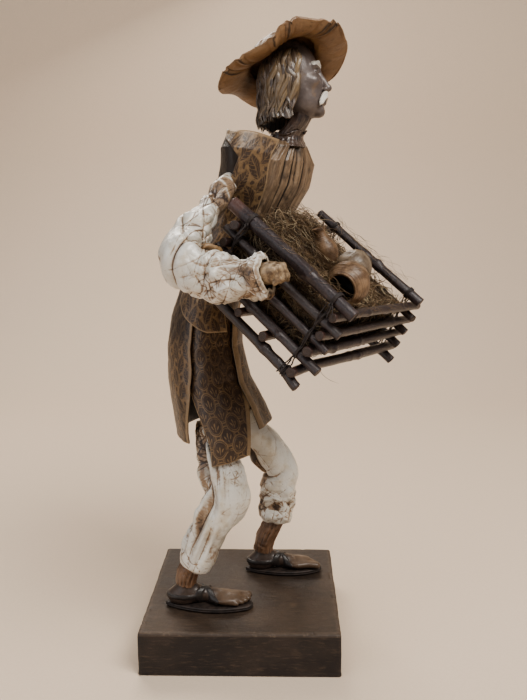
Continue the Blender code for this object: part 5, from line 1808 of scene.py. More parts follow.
# x, y, z, radius
NECK_STATIONS = [
    (21.5, 12.2, 258.8, 7.8), (23.5, 11.4, 261.8, 7.1), (26.0, 10.4, 264.8, 6.7),
    (28.3, 9.2, 267.6, 6.3), (30.2, 8.6, 271.0, 6.1), (31.0, 8.4, 274.0, 6.0),
]
COLLAR_STATIONS = [
    (21.3, 12.3, 257.4, 12.6), (21.9, 12.1, 259.2, 11.2), (22.8, 11.7, 261.2, 9.4),
    (23.8, 11.3, 263.0, 8.6), (24.8, 10.9, 264.6, 9.0),
]


def neck():
    rows, cols = 60, 120
    table = smooth_path(NECK_STATIONS, rows)
    path = table[:, None, :3]
    angle = circle(cols)
    pts = path + table[:, 3:, None] * stack(cos(angle), sin(angle), 0 * angle)
    rough = crumple(pts * (1, 1, 0.4), 5.0, 61)
    wrap = 0.35 * rough + 0.12 * sin(angle * 13 + 2 * vnoise(pts, 6, 5))
    pts = pts + normals_from(pts, path) * wrap[..., None]
    verts, faces = closed_tube(pts)
    attrs = {"stain_and_shade": capped(cavity(pts, True, 10)[0] * 4), "pu": capped(np.tile(angle * 7, rows)),
             "pv": capped(pts[..., 2]), "inside": np.zeros(len(verts))}
    make("neck_wrapped", verts, faces, NECK, "skin", "neck", attrs)


def collar():
    """A folded strip that stands off the neck and dips at the front."""
    rows, cols = 64, 200
    table = smooth_path(COLLAR_STATIONS, rows)
    path = table[:, None, :3]
    along, angle = grid(linspace(0, 1, rows), linspace(-pi, pi, cols, endpoint=False))
    rad = table[:, 3:] + 0.35 * sin(5 * angle) + 0.5 * along * sin(3 * angle + 1.0)
    pts = path + rad[..., None] * stack(cos(angle), 1.05 * sin(angle), 0 * angle)
    pts[..., 2] += along * (1.1 * cos(2 * angle + 0.4) + 0.5 * sin(5 * angle + 1))
    pts[..., 2] -= 2.0 * along * near(angle, -0.35, 0.33)
    rough = 0.32 * crumple(pts, 4.5, 63) + 0.10 * sin(angle * 21)
    pts = pts + unit(pts - path) * rough[..., None]
    fine, coarse = cavity(pts, True, 8)
    shell("collar_folded", pts, 0.8, {"stain_and_shade": fine * 4 + coarse, "pu": angle * 10,
                                      "pv": along * 6},
          wrap=True, material=NECK, slot="brown_paper", replaces="collar")


shirt()
neck()
collar()


def edge_mask(rows, cols, height, width, sides, fade):
    """1 at the chosen sides of a sheet, falling off within fade millimetres."""
    i, j = grid(linspace(0, 1, rows) * height, linspace(0, 1, cols) * width)
    gaps = {"bottom": i, "top": height - i, "left": j, "right": width - j}
    return np.max([bell(gaps[side], 0, fade) for side in sides], axis=0)


def vest(name, replaces, side):
    """One half of the vest; side is -1 for the near half and 1 for the far half."""
    is_near = side < 0
    rows, cols = 210, 230
    start, end = radians((-174, -40) if is_near else (97, 174))
    up, across = grid(linspace(0, 1, rows), linspace(0, 1, cols))
    angle = start + (end - start) * across
    low = 189.0
    if is_near:
        low = low - 23.0 * rise(radians(-160), radians(-62), angle)
    z = low + (256 - low) * up
    arc = angle * 24.0
    sheet = stack(arc, z, 0 * z)
    extra = (4.15 + 0.3 * sin(3 * angle + z * 0.1) + 0.30 * crumple(sheet, 16.0, 71 + side)
             + 0.16 * crumple(sheet, 6.0, 73 + side) + 3.2 * rise(190, 172, z))
    pts = body_points(z, angle, extra)
    # the shoulder stands out and up
    high = maximum(0.0, (z - 226) / 30.0)
    push = (15.0 if is_near else 7.0) * high**1.6 * maximum(0.0, sin(angle) * side) ** 2
    pts = pts + CHEST_LEFT * side * push[..., None]
    pts[..., 2] += 0.45 * push
    top = rise(244, 256, z)
    if is_near:
        tip = near(angle, radians(-118), 0.22) * high**2.5
        lean = -CHEST_FRONT * 2.6 - CHEST_LEFT * 2.0 + vec(0, 0, 3.0)
        pts = pts + lean * tip[..., None]
        # the yoke folds in over the shoulder
        over = top * rise(radians(-104), radians(-60), angle)
        pts = pts + (CHEST_LEFT * 3.4 + vec(0, 0, 0.9)) * over[..., None]
        # front edge: a turned-back strip
        strip = rise(0.93, 1.0, across) * (1 - high)
        pts = pts + CHEST_FRONT * 0.9 * strip[..., None]
        # back edge stands away from the arm
        flare = bell(z, 236, 14) * near(angle, radians(-128), 0.20)
        pts = pts - CHEST_FRONT * 5.0 * flare[..., None]
        # behind this line (x by z), in the arm opening, the sheet stands out a little and is painted
        # near black as shade
        line = np.interp(pts[..., 2], [215, 221, 229, 237, 241, 250, 259],
                         [-17.0, -13.0, -9.0, -3.5, -1.0, 1.5, -5.5])
        behind = rise(0.45, -0.45, pts[..., 0] - line)
        lining = behind * rise(226, 234, pts[..., 2])
        lift = (1.2 * lining * rise(0.62, 1.0, (z - 189) / 67.0)
                * exp(-maximum(0, line - pts[..., 0]) / 4.0))
        pts = pts + grid_normals(pts) * (0.9 * lining)[..., None]
        pts[..., 2] += lift
        armhole = ((1 - behind) * bell(z, 235, 12) * rise(radians(-150), radians(-112), angle)
                   * rise(radians(-45), radians(-75), angle))
        pts = pts - CHEST_LEFT * (4.6 * armhole)[..., None]
    else:
        over = top * rise(radians(100), radians(60), angle)
        pts = pts + (-CHEST_LEFT * 2.4 + vec(0, 0, 0.6)) * over[..., None]
    fine, coarse = cavity(pts, False, 12)
    stain_and_shade = clip(fine * 4, -0.4, 1.0) * 0.5 + clip(coarse * 1.0, -0.4, 1.0) * 0.5
    edge = edge_mask(rows, cols, 67, abs(end - start) * 24,
                     ("bottom", "top", "left", "right"), 0.8)
    if is_near:
        # painted shade: the arm opening is near black; the print is also darker towards the bottom and
        # in a band at z 216
        stain_and_shade = stain_and_shade + 2.5 * lining + 0.35 * rise(200, 180, z) + 0.30 * bell(z, 216, 9)
        edge = maximum(edge * (1 - lining), 0.42 * rise(246, 255, z) * (1 - lining))
    shell(name, pts, 0.8, {"stain_and_shade": stain_and_shade, "pu": arc, "pv": z, "edge": edge},
          material=LEAF_PRINT, slot="print_paper", replaces=replaces)


vest("vest_near_half", "vest_near", -1)
vest("vest_far_half", "vest_far", 1)


def skirt(name, z_range, start, end, paper, size, wave, sides, strip, seed,
          offset=0.0, lift=None, curl=0.0, tone=None):
    """A hanging printed panel.

    start and end give its angles by height; strip(across) marks a bare border, lift(across)
    raises the bottom, curl bends out the end edge and tone(z) darkens the paper by height; on
    the back panel this is partly painted shade.
    """
    (z0, z1), (rows, cols) = z_range, size
    z, across = grid(linspace(z0, z1, rows), linspace(0, 1, cols))
    first = start(z)
    angle = first + (end(z) - first) * across
    x, y, half_width, half_depth = level(SKIRT, z)
    arc = angle * 24.0
    sheet = stack(arc, z * 0.8, 0 * z)
    low = 1 - rise(z0 + 10, z1 - 15, z)
    ripple = sin(6.5 * angle + 0.8 * vnoise(sheet, 20, seed))
    out = (offset + 0.9 + 0.35 * sin(5 * angle + 0.02 * z) + wave * (0.25 + 0.75 * low) * ripple
           + 0.35 * crumple(sheet, 15.0, 81 + seed) + 0.16 * crumple(sheet, 5.5, 83 + seed)
           + curl * rise(0.94, 1.0, across))
    raised = z
    if lift is not None:
        raised = z + lift(across) * (1 - (z - z0) / (z1 - z0))
    pts = stack(x + (half_depth + out) * cos(angle), y + (half_width + out) * sin(angle), raised)
    fine, coarse = cavity(pts, False, 14)
    stain_and_shade = clip(fine * 4, -0.4, 1.0) * 0.5 + clip(coarse * 0.9, -0.4, 1.0) * 0.5
    if tone is not None:
        stain_and_shade = stain_and_shade + tone(z)
    edge = maximum(edge_mask(rows, cols, z1 - z0, 24.0, sides, 0.55), strip(across))
    shell(name + "_panel", pts, 0.75, {"stain_and_shade": stain_and_shade, "pu": arc, "pv": z, "edge": edge},
          material=paper, slot="print_paper", replaces=name)


# the back panel's paper is painted darker at its top, as shade under the arm and the crate, and darker
# towards its bottom
skirt(
    "skirt_back", (111, 186), paper=LEAF_PRINT, size=(240, 300), wave=0.7, seed=1,
    start=lambda z: radians(96),
    end=lambda z: radians(254) - radians(24) * rise(150, 112, z),
    sides=("bottom", "left", "right"), strip=lambda across: rise(0.955, 0.985, across) * 0.8,
    tone=lambda z: 0.62 * rise(154, 166, z) + 0.50 * rise(140, 128, z))
skirt(
    "skirt_near", (102, 182), paper=SCALE_PRINT, size=(240, 230), wave=0.5, seed=4,
    start=lambda z: radians(-118) + radians(15) * rise(150, 104, z),
    end=lambda z: radians(np.interp(z, [102, 112, 136, 160], [-58, -54, -30, -12])),
    sides=("bottom", "left"), strip=lambda across: rise(0.90, 0.93, across) * 0.95,
    offset=-2.1, lift=lambda across: -1.5 + 5.0 * across, curl=0.5)
skirt(
    "skirt_far", (117, 170), paper=SCALE_PRINT, size=(190, 260), wave=0.8, seed=7,
    start=lambda z: radians(-38), end=lambda z: radians(90),
    sides=("bottom", "right"), strip=lambda across: rise(0.10, 0.075, across) * 0.9)


# ------------------------------------------------------------------ sleeves
def right_calm(along, facing, spread):
    """Where the outside of the right sleeve is smooth."""
    return near(facing, -1.25, spread) * (1 - rise(0.55, 0.72, along))


def right_sleeve_shift(pts, along, facing):
    broad, wide, mid, fine = facets(pts, (19.0, 101, 0.3), (10.0, 102), (5.4, 103), (2.9, 104))
    calm = right_calm(along, facing, 0.95)
    elbow = 0.85 * near(facing, 0.9, 0.9) * rise(0.12, 0.3, along)
    busy = maximum(rise(0.50, 0.66, along), elbow)
    out = 3.0 * broad + 2.6 * wide * (1 - 0.45 * calm)
    out = out + (0.2 + 1.7 * busy) * mid * (1 - 0.85 * calm) + 0.55 * busy * fine - 0.4
    # creases across the sleeve: place, slope, depth
    for place, slope, depth in ((0.30, 0.16, 0.7), (0.47, -0.10, 1.3), (0.60, 0.10, 0.9)):
        gap = along - place - slope * sin(facing + 0.6)
        out = out - depth * tent(gap, 0.020) + 0.5 * depth * bell(np.abs(gap), 0.045, 0.025)
    # turned-in, pinched cuff
    out = out + 0.9 * bell(along, 0.93, 0.03)
    out = out + 0.55 * sin(4 * facing + 1.0) * rise(0.86, 0.97, along)
    out = out + 0.35 * sin(7 * facing) * rise(0.88, 1.0, along)
    out = out - 1.6 * bell(along, 0.855, 0.018) * (0.6 + 0.4 * sin(3 * facing))
    return out - 2.0 * rise(0.975, 1.0, along)


def right_sleeve_stain(pts, along, facing):
    patches = 0.72 * rise(0.50, 0.85, along)
    patches = patches + 0.62 * near(facing, 1.0, 0.8) * rise(0.1, 0.3, along)
    return (patches * (0.45 + 0.9 * fbm(pts, 5.0, 9)) + 0.8 * bell(along, 0.10, 0.06)
            + 0.15 * (0.5 + fbm(pts, 9.0, 10)))


paper_tube(
    "sleeve_right_paper",
    [(-2.0, -8.0, 245.0, 3.6, 3.6), (-11.4, -37.0, 226.5, 7.9, 7.8),
     (-17.0, -48.5, 215.0, 10.5, 9.8), (-19.4, -56.5, 204.0, 10.9, 10.2),
     (-12.0, -61.5, 197.0, 10.8, 10.2), (1.2, -67.5, 195.8, 9.8, 9.4),
     (9.5, -72.5, 197.6, 9.0, 8.6), (15.8, -76.2, 199.5, 8.6, 8.2)],
    420, 250, right_sleeve_shift, IVORY, "white_paper", "sleeve_right",
    creases=[
        (19.0, 101, 0.3, lambda along, facing: 0.75, 0.016),
        (10.0, 102, 0.45, lambda along, facing:
            0.36 - 0.3 * right_calm(along, facing, 0.9), 0.028),
        (5.4, 103, 0.45, lambda along, facing:
            0.02 + 0.26 * maximum(rise(0.45, 0.65, along),
                                  near(facing, 0.9, 0.9) * rise(0.08, 0.25, along)), 0.045),
    ],
    stain=right_sleeve_stain,
)


def left_sleeve_shift(pts, along, facing):
    wide, mid, fine = facets(pts, (14.0, 111), (7.0, 112), (3.4, 113))
    out = 1.2 * wide + 0.9 * mid + 0.5 * fine * rise(0.45, 0.8, along)
    for place in (0.42, 0.60):
        out = out - 1.2 * tent(along - place - 0.05 * sin(facing), 0.022)
    return out + 0.4 * sin(5 * facing) * rise(0.9, 1.0, along) - 0.8 * rise(0.97, 1.0, along)


paper_tube(
    "sleeve_left_paper",
    [(27.5, 37.5, 243.5, 4.2, 4.4), (22.5, 48.0, 239.5, 6.4, 6.4),
     (17.0, 54.5, 229.0, 7.8, 7.6), (13.0, 59.5, 216.0, 8.6, 8.2),
     (17.0, 60.0, 205.5, 8.6, 8.2), (26.5, 52.5, 207.0, 7.4, 7.0),
     (34.5, 42.0, 214.5, 6.0, 5.8)],
    300, 200, left_sleeve_shift, IVORY, "white_paper", "sleeve_left",
    creases=[(14.0, 111, 0.45, lambda along, facing: 0.6, 0.022),
             (7.0, 112, 0.45, lambda along, facing: 0.4, 0.035)],
    stain=lambda pts, along, facing:
        0.4 * rise(0.5, 0.9, along) * (0.5 + fbm(pts, 5.0, 19)),
)

# ------------------------------------------------------------------ hands
# place across the palm, radius, knuckle's share of the hand's length
FINGERS = ((-2.7, 1.0, 0.86), (-0.95, 1.1, 0.92), (0.85, 1.1, 0.93), (2.5, 0.95, 0.86))


def hand(side, wrist, knuckles, up, mirror, paper):
    """A closed hand: palm, four bent fingers and a thumb."""
    wrist, knuckles, up = vec(*wrist), vec(*knuckles), vec(*up)
    forward = unit(knuckles - wrist)
    up = unit(up - forward * up.dot(forward))
    across = np.cross(up, forward) * mirror
    length = np.linalg.norm(knuckles - wrist)

    def shape(p):
        q = p * (1, 0.66, 0.66)
        d = ell(q, (length * 0.45, 0, 0), (length * 0.55, 3.9, 3.2))
        for y, radius, reach in FINGERS:
            x = length * reach
            d = smin(d, cap(q, (length * 0.55, y, 0.8), (x, y, 0.7), radius), 0.5)
            d = smin(d, cap(q, (x, y, 0.7), (x + 0.3, y, -1.9), radius * 0.97), 0.35)
            d = smin(d, cap(q, (x + 0.3, y, -1.9), (x - 1.9, y, -2.5), radius * 0.9), 0.35)
        joint = (length * 0.62, 3.9, -1.9)
        d = smin(d, cap(q, (length * 0.25, 3.0, -0.6), joint, 1.3, 1.1), 0.8)
        d = smin(d, cap(q, joint, (length * 0.86, 2.4, -3.0), 1.1, 0.9), 0.5)
        return d + 0.08 * vnoise(p, 1.6, 3)

    verts, quads = sdf_mesh(shape, (-2.0, -9.2, -8.4), (length + 3.0, 9.8, 7.0), 0.34)
    world = placed(verts, wrist, forward, across, up)
    make("hand_" + side + "_closed", world, outward(world, [quads]), paper, "skin",
         "hand_" + side,
         {"cav": vertex_cavity(verts, quads, 5)[0], "brow": np.zeros(len(verts))})


hand("right", (7.0, -71.2, 196.4), (23.2, -80.6, 200.6), (0.3, -0.4, 1.0), 1, HAND)
hand("left", (28.5, 48.4, 208.4), (38.8, 35.8, 219.8), (0.2, 0.9, 0.4), -1, SKIN)

# ------------------------------------------------------------------ head
HEAD_AT = vec(27.5, 10.0, 290.0)
HEAD_UP = unit((-0.14, 0.12, 1.0))
HEAD_FRONT = vec(1.0, 0.0, 0.10)
HEAD_FRONT = unit(HEAD_FRONT - HEAD_UP * HEAD_UP.dot(HEAD_FRONT))
HEAD_LEFT = np.cross(HEAD_UP, HEAD_FRONT)
HEAD_FRAME = (HEAD_AT, HEAD_FRONT, HEAD_LEFT, HEAD_UP)
HAT_AT = vec(22.0, 10.0, 297.8)
HAT_FRONT = unit((0.978, 0.0, 0.209))
HAT_LEFT = unit((0.0, 0.875, -0.485))
HAT_UP = np.cross(HAT_FRONT, HAT_LEFT)
# start, end and radius of the eyelids of one eye
EYELIDS = (
    ((11.7, 2.3, 1.0), (12.75, 4.5, 1.95), 0.50), ((12.75, 4.5, 1.95), (11.1, 7.0, 1.0), 0.50),
    ((11.8, 2.5, 0.7), (12.3, 4.6, -0.35), 0.42), ((12.3, 4.6, -0.35), (11.2, 6.8, 0.5), 0.42),
)
# start, end and their radii of the hair tufts of one brow
BROW = (((13.6, 1.7, 4.9), (12.9, 4.6, 5.7), 0.95, 1.1),
        ((12.9, 4.6, 5.7), (10.6, 8.0, 4.9), 1.1, 0.7))


def head_shape(p):
    """Distance to the head; x is forward, y left and z up from its centre."""
    both = p.copy()
    both[..., 1] = np.abs(both[..., 1])  # shapes on both sides
    # skull, cheeks, jaw, chin, cheekbones, brow ridge
    d = ell(p, (-1.8, 0, 5.4), (14.4, 12.0, 14.6))
    d = smin(d, ell(p, (2.8, 0, -4.6), (10.9, 9.9, 14.6)), 4.0)
    d = smin(d, ell(p, (4.6, 0, -13.0), (7.8, 7.6, 6.4)), 3.5)
    d = smin(d, ell(p, (10.6, 0, -17.3), (2.9, 3.9, 2.7)), 2.4)
    d = smin(d, ell(both, (8.8, 6.6, -3.6), (3.4, 2.9, 2.8)), 2.6)
    d = smin(d, cap(both, (12.6, 1.4, 4.2), (10.6, 7.0, 4.0), 1.7, 1.5), 1.8)
    # eye sockets, eyes and lids
    d = smax(d, -ell(both, (13.7, 4.7, 1.1), (2.7, 2.9, 2.1)), 1.5)
    d = smin(d, ball(both, (9.7, 4.6, 1.0), 2.75), 0.25)
    for start, end, radius in EYELIDS:
        d = smin(d, cap(both, start, end, radius), 0.35)
    # nose and nostrils
    d = smin(d, cap(p, (12.4, 0, 3.4), (16.0, 0, -5.6), 1.15, 1.75), 1.6)
    d = smin(d, ell(p, (16.5, 0, -6.3), (2.0, 1.8, 1.65)), 0.8)
    d = smin(d, ell(both, (14.9, 1.75, -6.9), (1.6, 1.1, 1.2)), 0.6)
    d = smax(d, -ball(both, (15.7, 1.0, -8.2), 0.50), 0.3)
    # lips and the line between them
    d = smin(d, ell(both, (13.1, 1.8, -11.2), (1.9, 2.6, 1.15)), 0.7)
    d = smin(d, ell(p, (13.0, 0, -13.35), (1.8, 3.0, 1.2)), 0.7)
    d = smax(d, -cap(both, (15.0, 0, -12.25), (13.5, 3.5, -12.35), 0.34), 0.4)
    for tuft in BROW:
        d = smin(d, cap(both, *tuft), 0.3)
    # ears sit under the hair
    d = smin(d, ell(both, (-1.4, 11.6, -1.6), (2.4, 1.2, 4.2)), 0.8)
    return d + 0.05 * vnoise(p, 1.4, 7) + 0.10 * vnoise(p, 4.0, 8)


def head():
    verts, quads = sdf_mesh(head_shape, (-17.5, -14.5, -21.8), (20.0, 14.5, 21.2), 0.33)
    both = verts.copy()
    both[:, 1] = np.abs(both[:, 1])
    brow = rise(0.75, 0.35, minimum(*[cap(both, *tuft) for tuft in BROW]))
    hollow, normals = vertex_cavity(verts, quads, 8)
    hairs = 0.10 * sin(verts[:, 1] * 9.0 + verts[:, 2] * 6.0)
    world = placed(verts + normals * (hairs * brow)[:, None], *HEAD_FRAME)
    make("head_carved", world, outward(world, [quads]), SKIN, "skin", "head",
         {"cav": hollow, "brow": brow})


head()


def lock_mesh(path, width, thick, up, seed, cols=16, ridges=5):
    """One flattened, tapering lock of hair with combed grooves along it."""
    rng = np.random.default_rng(seed)
    rows = len(path)
    _, sides, overs = frames_along(path, up=up)
    t, angle = grid(linspace(0, 1, rows), circle(cols))
    taper = clip(minimum(0.55 + t * 3.0, 1.0) * minimum(1, 0.12 + (1 - t) * 2.6), 0.08, 1)
    comb = cos(angle * ridges + rng.uniform(0, 6.28) + t * 1.5)
    size = taper * (1 + 0.17 * comb)
    rings = ring_points(path, sides, overs, cos(angle) * width * size,
                        sin(angle) * thick * size)
    groove = clip(-comb * 0.6 + 0.5 * (1 - rise(0, 0.25, t)), -0.2, 1)
    verts, faces = closed_tube(rings)
    length = arc_lengths(path)[-1]
    return verts, faces, {
        "su": capped(t * length, 0, length), "sv": capped(angle * width),
        "rnd": np.full(len(verts), rng.uniform(0, 1)), "groove": capped(groove)}


def head_radius(angle, up):
    taper = np.sqrt(maximum(0.0, 1 - ((up + 1.0) / 21.5) ** 2))
    depth, width = maximum(15.2 * taper, 0.01), maximum(12.2 * taper, 0.01)
    rad = 1.0 / np.sqrt((cos(angle) / depth) ** 2 + (sin(angle) / width) ** 2)
    low = maximum(0, (-6 - up) / 15.0)
    return rad * (1 - 0.30 * low * maximum(0, -cos(angle)) - 0.10 * low * np.abs(sin(angle)))


def hair_point(angle, up, out):
    """A place on the hair; angle 0 is the front, up and out are off the head's centre."""
    angle, up, out = np.broadcast_arrays(*[np.asarray(v, float) for v in (angle, up, out)])
    half = np.where(angle <= pi, angle, TURN - angle)
    rad = maximum(head_radius(half, maximum(up, -12.0)), 9.4) + 0.6
    rad = rad + 0.10 * maximum(0.0, -up - 4)
    back = 5.6 * minimum(1.0, maximum(0.0, (-up - 3) / 14.0))
    outwards = HEAD_FRONT * cos(angle)[..., None] + HEAD_LEFT * sin(angle)[..., None]
    return (HEAD_AT + HEAD_UP * up[..., None] - HEAD_FRONT * back[..., None]
            + outwards * (rad + out)[..., None])


def hair_top(angle):
    """The highest start of a lock that stays under the hat."""
    top = 12.0
    while top > -9 and (hair_point(angle, top, 3.4) - HAT_AT).dot(HAT_UP) > 0.6:
        top -= 0.25
    return top


HAIR_START = 1.36  # angle from the front where the hair begins, on both sides
HAIR_END = TURN - HAIR_START


def under_hair():
    rows, cols = 120, 240
    angles = linspace(HAIR_START, HAIR_END, cols)
    tops = np.array([hair_top(a) for a in angles])
    part, angle = grid(linspace(0, 1, rows), angles)
    low = -20.0 + 1.0 * sin(5 * angles) + 0.6 * sin(13 * angles)
    up = low + (tops - low) * part
    half = np.where(angle <= pi, angle, TURN - angle)
    wander = 2 * vnoise(stack(angle * 10, up * 0.3, 0 * up), 3.0, 4)
    ridge = 0.30 * sin(angle * 34 + 1.2 * sin(up * 0.35) + wander)
    thick = 1.5 + 0.9 * sin((half - HAIR_START) / (pi - HAIR_START) * pi * 0.9) + ridge
    border = (angle < HAIR_START + 0.05) | (angle > HAIR_END - 0.05)
    outer = hair_point(angle, up, thick * np.where(border, 0.5, 1.0))
    inner = hair_point(angle, up, 0.0)
    verts = np.concatenate([outer.reshape(-1, 3), inner.reshape(-1, 3)])
    return verts, outward(verts, sheet_faces(rows, cols)), {
        "su": np.tile(up.ravel(), 2), "sv": np.tile((angle * 12).ravel(), 2),
        "rnd": np.full(len(verts), 0.35),
        "groove": np.tile(clip(-ridge * 3, 0, 1).ravel(), 2)}


def hair_lock(rng, layer, k, count):
    start = HAIR_START + 0.03 + (TURN - 2 * HAIR_START - 0.06) * (k + rng.uniform(0, 1)) / count
    top = hair_top(start) + rng.uniform(-0.5, 0.8) - (0 if layer < 2 else rng.uniform(0, 9))
    low = -19.5 + rng.uniform(-1.6, 3.0) - (0.0 if layer else 0.5)
    face_gap = min(start - HAIR_START, HAIR_END - start)
    if face_gap < 0.55:
        low += 3.0 * (1 - face_gap / 0.55)
    t = linspace(0, 1, 30)
    up = top + (low - top) * t
    sweep = (0.26 + rng.normal(0, 0.24)) * (1 if start < pi else -1)
    angle = start + sweep * (t - 0.35) * (1 if layer else 0.7)
    angle = angle + rng.uniform(0.03, 0.085) * sin(t * rng.uniform(5, 15) + rng.uniform(0, 6))
    angle = clip(angle, HAIR_START - 0.03, HAIR_END + 0.03)
    out = 1.2 + 0.55 * layer + 0.5 * sin(t * pi) + 0.45 * sin(t * 9 + k)
    out = out + 0.4 * t**3 * rng.uniform(-1, 1)
    path = hair_point(angle, up, out)
    outwards = unit(HEAD_FRONT * cos(start) + HEAD_LEFT * sin(start))
    return lock_mesh(path, rng.uniform(0.9, 1.7), rng.uniform(0.45, 0.7), outwards,
                     1000 * layer + k)


def hair():
    rng = np.random.default_rng(21)
    parts = [under_hair()]
    for layer, count in enumerate((46, 52, 40)):
        parts += [hair_lock(rng, layer, k, count) for k in range(count)]
    verts, faces, attrs = join(parts)
    make("hair_combed", verts, faces, HAIR, "hair", "hair", attrs)


def moustache():
    rng = np.random.default_rng(31)
    parts = []
    for side in (-1, 1):
        for k in range(15):
            y = rng.uniform(-0.6, 0.6)
            z = rng.uniform(-1.1, 1.1)
            line = placed([
                (15.3 + 0.4 * rng.uniform(), side * 0.25, -9.4 + z),
                (15.2, side * (2.3 + 0.2 * y), -9.9 + z * 1.1),
                (13.8, side * (4.6 + 0.3 * y), -11.2 + z * 1.3),
                (12.0 + 0.2 * y, side * (6.5 + 0.4 * y),
                 -13.2 + z * 1.0 + rng.uniform(-0.8, 0.5)),
                (10.8 + 0.2 * y, side * (7.4 + 0.3 * y),
                 -15.2 + z * 0.5 + rng.uniform(-0.8, 0.8)),
            ], *HEAD_FRAME)
            parts.append(lock_mesh(smooth_path(line, 26), rng.uniform(0.55, 0.85), 0.6,
                                   HEAD_FRONT, 400 + k, cols=10, ridges=3))
    verts, faces, attrs = join(parts)
    make("moustache_combed", verts, faces, WHISKER, "white_hair", "moustache", attrs)


hair()
moustache()

# ------------------------------------------------------------------ hat
# radius, height above the hat's plane
BRIM_PROFILE = [(17.9, 3.8), (19.4, 2.4), (22.8, 1.0), (26.5, 0.1), (30.0, 0.5), (32.3, 1.5),
                (32.9, 1.5), (32.8, 0.7), (32.0, 0.3)]
CROWN_PROFILE = [(18.2, 3.7), (18.0, 6.2), (17.2, 8.6), (15.2, 11.0), (11.6, 12.6),
                 (7.0, 13.1), (3.0, 13.0), (0.4, 12.8)]


def hat_points(rad, height, angle):
    return ring_points(HAT_AT + HAT_UP * height[..., None], HAT_FRONT, HAT_LEFT,
                       rad[..., None] * cos(angle)[..., None],
                       rad[..., None] * sin(angle)[..., None])[..., 0, :]


def hat_dip(angle):
    """The hat sags on this side."""
    return near(angle, radians(238), 0.80)


def hat_brim():
    rows, cols = 150, 420
    profile = smooth_path(BRIM_PROFILE, rows)
    along, angle = grid(linspace(0, 1, rows), circle(cols))
    rad, height = [grid(column, circle(cols))[0] for column in profile.T]
    curl = clip((rad - 18.3) / 14.1, 0, 1) ** 2
    dip = hat_dip(angle)
    waves = 1.6 * sin(3 * angle + 0.6) + 1.1 * sin(5 * angle + 2.0) + 0.6 * sin(8 * angle)
    height = height + curl * waves - 6.0 * dip + 2.5 * curl * near(angle, radians(318), 0.45)
    rad = rad * (1 - 0.14 * dip) + curl * (
        1.0 * sin(2 * angle + 1.0) + 0.7 * sin(7 * angle) - 2.0 * dip
        + 1.5 * near(angle, radians(183), 0.4))
    # radial pinches of the folded paper, a few of them deep
    rng = np.random.default_rng(9)
    pinch = 0.10 * zigzag(angle * 2.2 + 0.6 * sin(angle * 3)) * curl
    for place in np.append(rng.uniform(0, TURN, 5), radians([276, 322, 196])):
        depth = rng.uniform(0.5, 1.6)
        width = rng.uniform(0.02, 0.05)
        gap = np.abs(angle_gap(angle, place + 0.10 * (along - 0.5)))
        pinch = pinch - depth * tent(gap, width * 1.6) * rise(0.1, 0.5, along)
        pinch = pinch + 0.35 * depth * bell(gap, width * 2.6, width)
    pts = hat_points(rad, height, angle)
    big = crumple(pts, 13.0, 121)
    small = crumple(pts, 6.0, 122)
    height = height + pinch + (1.0 * big + 0.30 * small) * (0.25 + 0.75 * curl)
    pts = hat_points(rad + 0.35 * big * curl, height, angle)
    fine, coarse = cavity(pts, True, 12)
    stain_and_shade = np.abs(clip(fine * 6, -1, 1)) * 0.55 + clip(np.abs(coarse) * 0.9, 0, 1) * 0.45
    shell("hat_brim_crumpled", pts, 0.8, {"stain_and_shade": stain_and_shade, "pu": angle * 12, "pv": along * 80},
          wrap=True, material=HAT, slot="hat_paper", replaces="hat_brim")


def hat_crown():
    rows, cols = 120, 300
    profile = smooth_path(CROWN_PROFILE, rows)
    rad, angle = grid(profile[:, 0], circle(cols))
    height = grid(profile[:, 1], circle(cols))[0]
    dip = hat_dip(angle)
    rad = rad * (1 - 0.14 * dip)
    height = height - 6.0 * dip * rise(14.0, 4.0, height)
    pts = hat_points(rad, height, angle)
    dent = 0.55 * crumple(pts, 8.0, 131) + 0.25 * crumple(pts, 4.0, 132)
    dent = dent - 0.7 * bell(height, 14.9, 1.1) * near(angle, 0.4, 0.9)
    normals = normals_from(pts, HAT_AT + HAT_UP * 5)
    outer = pts + normals * (dent * rise(0.0, 2.5, rad))[..., None]
    inner = outer - normals * 0.9
    fine, coarse = cavity(outer, True, 12)
    stain_and_shade = np.abs(clip(fine * 6, -1, 1)) * 0.6 + np.abs(coarse) * 0.4
    # each wall is its grid and one point at the top
    verts = np.concatenate([part for wall in (outer, inner)
                            for part in (wall.reshape(-1, 3), wall[-1].mean(axis=0)[None])])
    count = rows * cols + 1
    j = np.arange(cols)
    k = (j + 1) % cols
    last = (rows - 1) * cols
    faces = [
        grid_faces(rows, cols, True), grid_faces(rows, cols, True, count, True),
        stack(k, j, count + j, count + k),
        stack(last + j, last + k, np.full(cols, count - 1)),
        stack(count + last + k, count + last + j, np.full(cols, 2 * count - 1)),
    ]

    def both(values, top):
        return np.tile(np.append(values.ravel(), top), 2)

    make("hat_crown_crumpled", verts, outward(verts, faces), HAT, "hat_paper", "hat_crown", {
        "stain_and_shade": both(stain_and_shade, 0), "pu": both(angle * 18, 0),
        "pv": both(height * 1.2 + (18 - rad), 30), "inside": np.repeat([0.0, 1.0], count)})


hat_brim()
hat_crown()

# ------------------------------------------------------------------ hidden pieces keep their CAD shape
for cad_name, cad_material in (("leg_wire_right", STEEL), ("leg_wire_left", STEEL),
                               ("spine_wire", STEEL), ("torso_core", CORE)):
    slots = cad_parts[cad_name].data.materials
    slots.clear()
    slots.append(cad_material)


# ------------------------------------------------------------------ floor, light, camera
def paint_floor():
    mottle = noise(1.6, detail=4)
    colour = mix(mottle, (0.745, 0.60, 0.465), (0.80, 0.66, 0.525))
    surface(colour, 0.9, bumps((mottle, 0.15)))


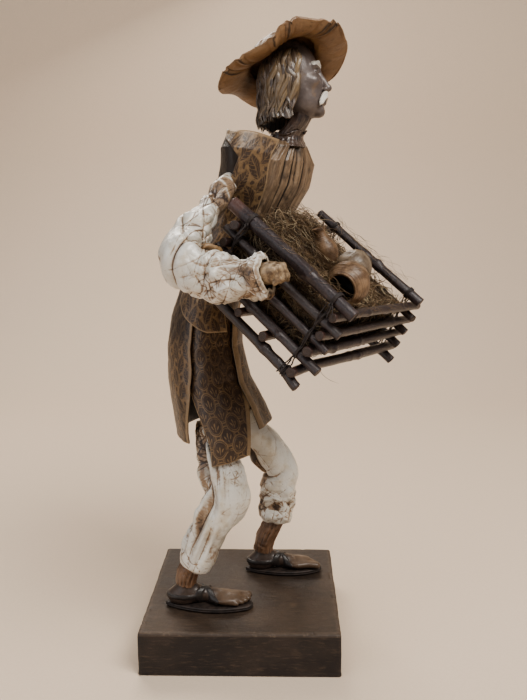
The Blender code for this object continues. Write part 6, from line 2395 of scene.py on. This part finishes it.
def studio_floor():
    """A floor that curves up into a backdrop at +y."""
    paper = material("pale_floor", paint_floor)
    profile = [(-1500, 0)] + [(y, 0) for y in linspace(-1200, 500, 12)]
    for a in linspace(0, pi / 2, 14):
        profile.append((520 + 380 * sin(a), 380 * (1 - cos(a))))
    profile.append((900, 1900))
    verts = np.array([(x, y, z - 0.02) for y, z in profile for x in linspace(-1600, 1600, 9)])
    mesh = bpy.data.meshes.new("studio_floor")
    faces = grid_faces(len(profile), 9, flip=True)
    mesh.from_pydata((verts * MM).tolist(), [], faces.tolist())
    mesh.shade_smooth()
    ob = bpy.data.objects.new("studio_floor", mesh)
    bpy.context.scene.collection.objects.link(ob)
    mesh.materials.append(paper)


def studio_world():
    world = bpy.data.worlds.new("studio_world")
    bpy.context.scene.world = world
    world.use_nodes = True
    background = world.node_tree.nodes["Background"]
    background.inputs["Color"].default_value = (0.92, 0.93, 0.96, 1)
    background.inputs["Strength"].default_value = 0.24


def area_light(name, at, target, size, power, colour):
    """An area light at a place, aimed at a target; size in metres."""
    light = bpy.data.lights.new(name, "AREA")
    light.shape = "RECTANGLE"
    light.size, light.size_y = size
    light.energy = power
    light.color = colour
    ob = bpy.data.objects.new(name, light)
    away = unit(vec(*at) - vec(*target))
    ob.location = [c * MM for c in at]
    ob.rotation_euler = (np.arccos(away[2]), 0, np.arctan2(away[0], -away[1]))
    bpy.context.scene.collection.objects.link(ob)


def camera():
    """Location in metres."""
    lens = bpy.data.cameras.new("camera")
    lens.lens = 39.08
    lens.sensor_width = 36.0
    lens.clip_start, lens.clip_end = 0.02, 20.0
    ob = bpy.data.objects.new("camera", lens)
    ob.location = (0.0230237, -0.3909272, 0.2182469)
    ob.rotation_euler = (pi / 2 - 0.1627, 0.0074, 0.0283)
    bpy.context.scene.collection.objects.link(ob)
    bpy.context.scene.camera = ob


studio_floor()
studio_world()
area_light("key", at=(420, -480, 900), target=(0, 0, 160), size=(0.55, 0.45), power=8.5,
           colour=(1.0, 0.96, 0.90))
area_light("fill", at=(-750, -650, 420), target=(0, 0, 160), size=(0.9, 0.9), power=3.0,
           colour=(0.93, 0.96, 1.0))
area_light("rim", at=(-250, 620, 820), target=(0, 0, 200), size=(0.6, 0.4), power=4.5,
           colour=(1.0, 0.95, 0.88))
camera()
bpy.context.scene.view_settings.look = "AgX - Medium High Contrast"
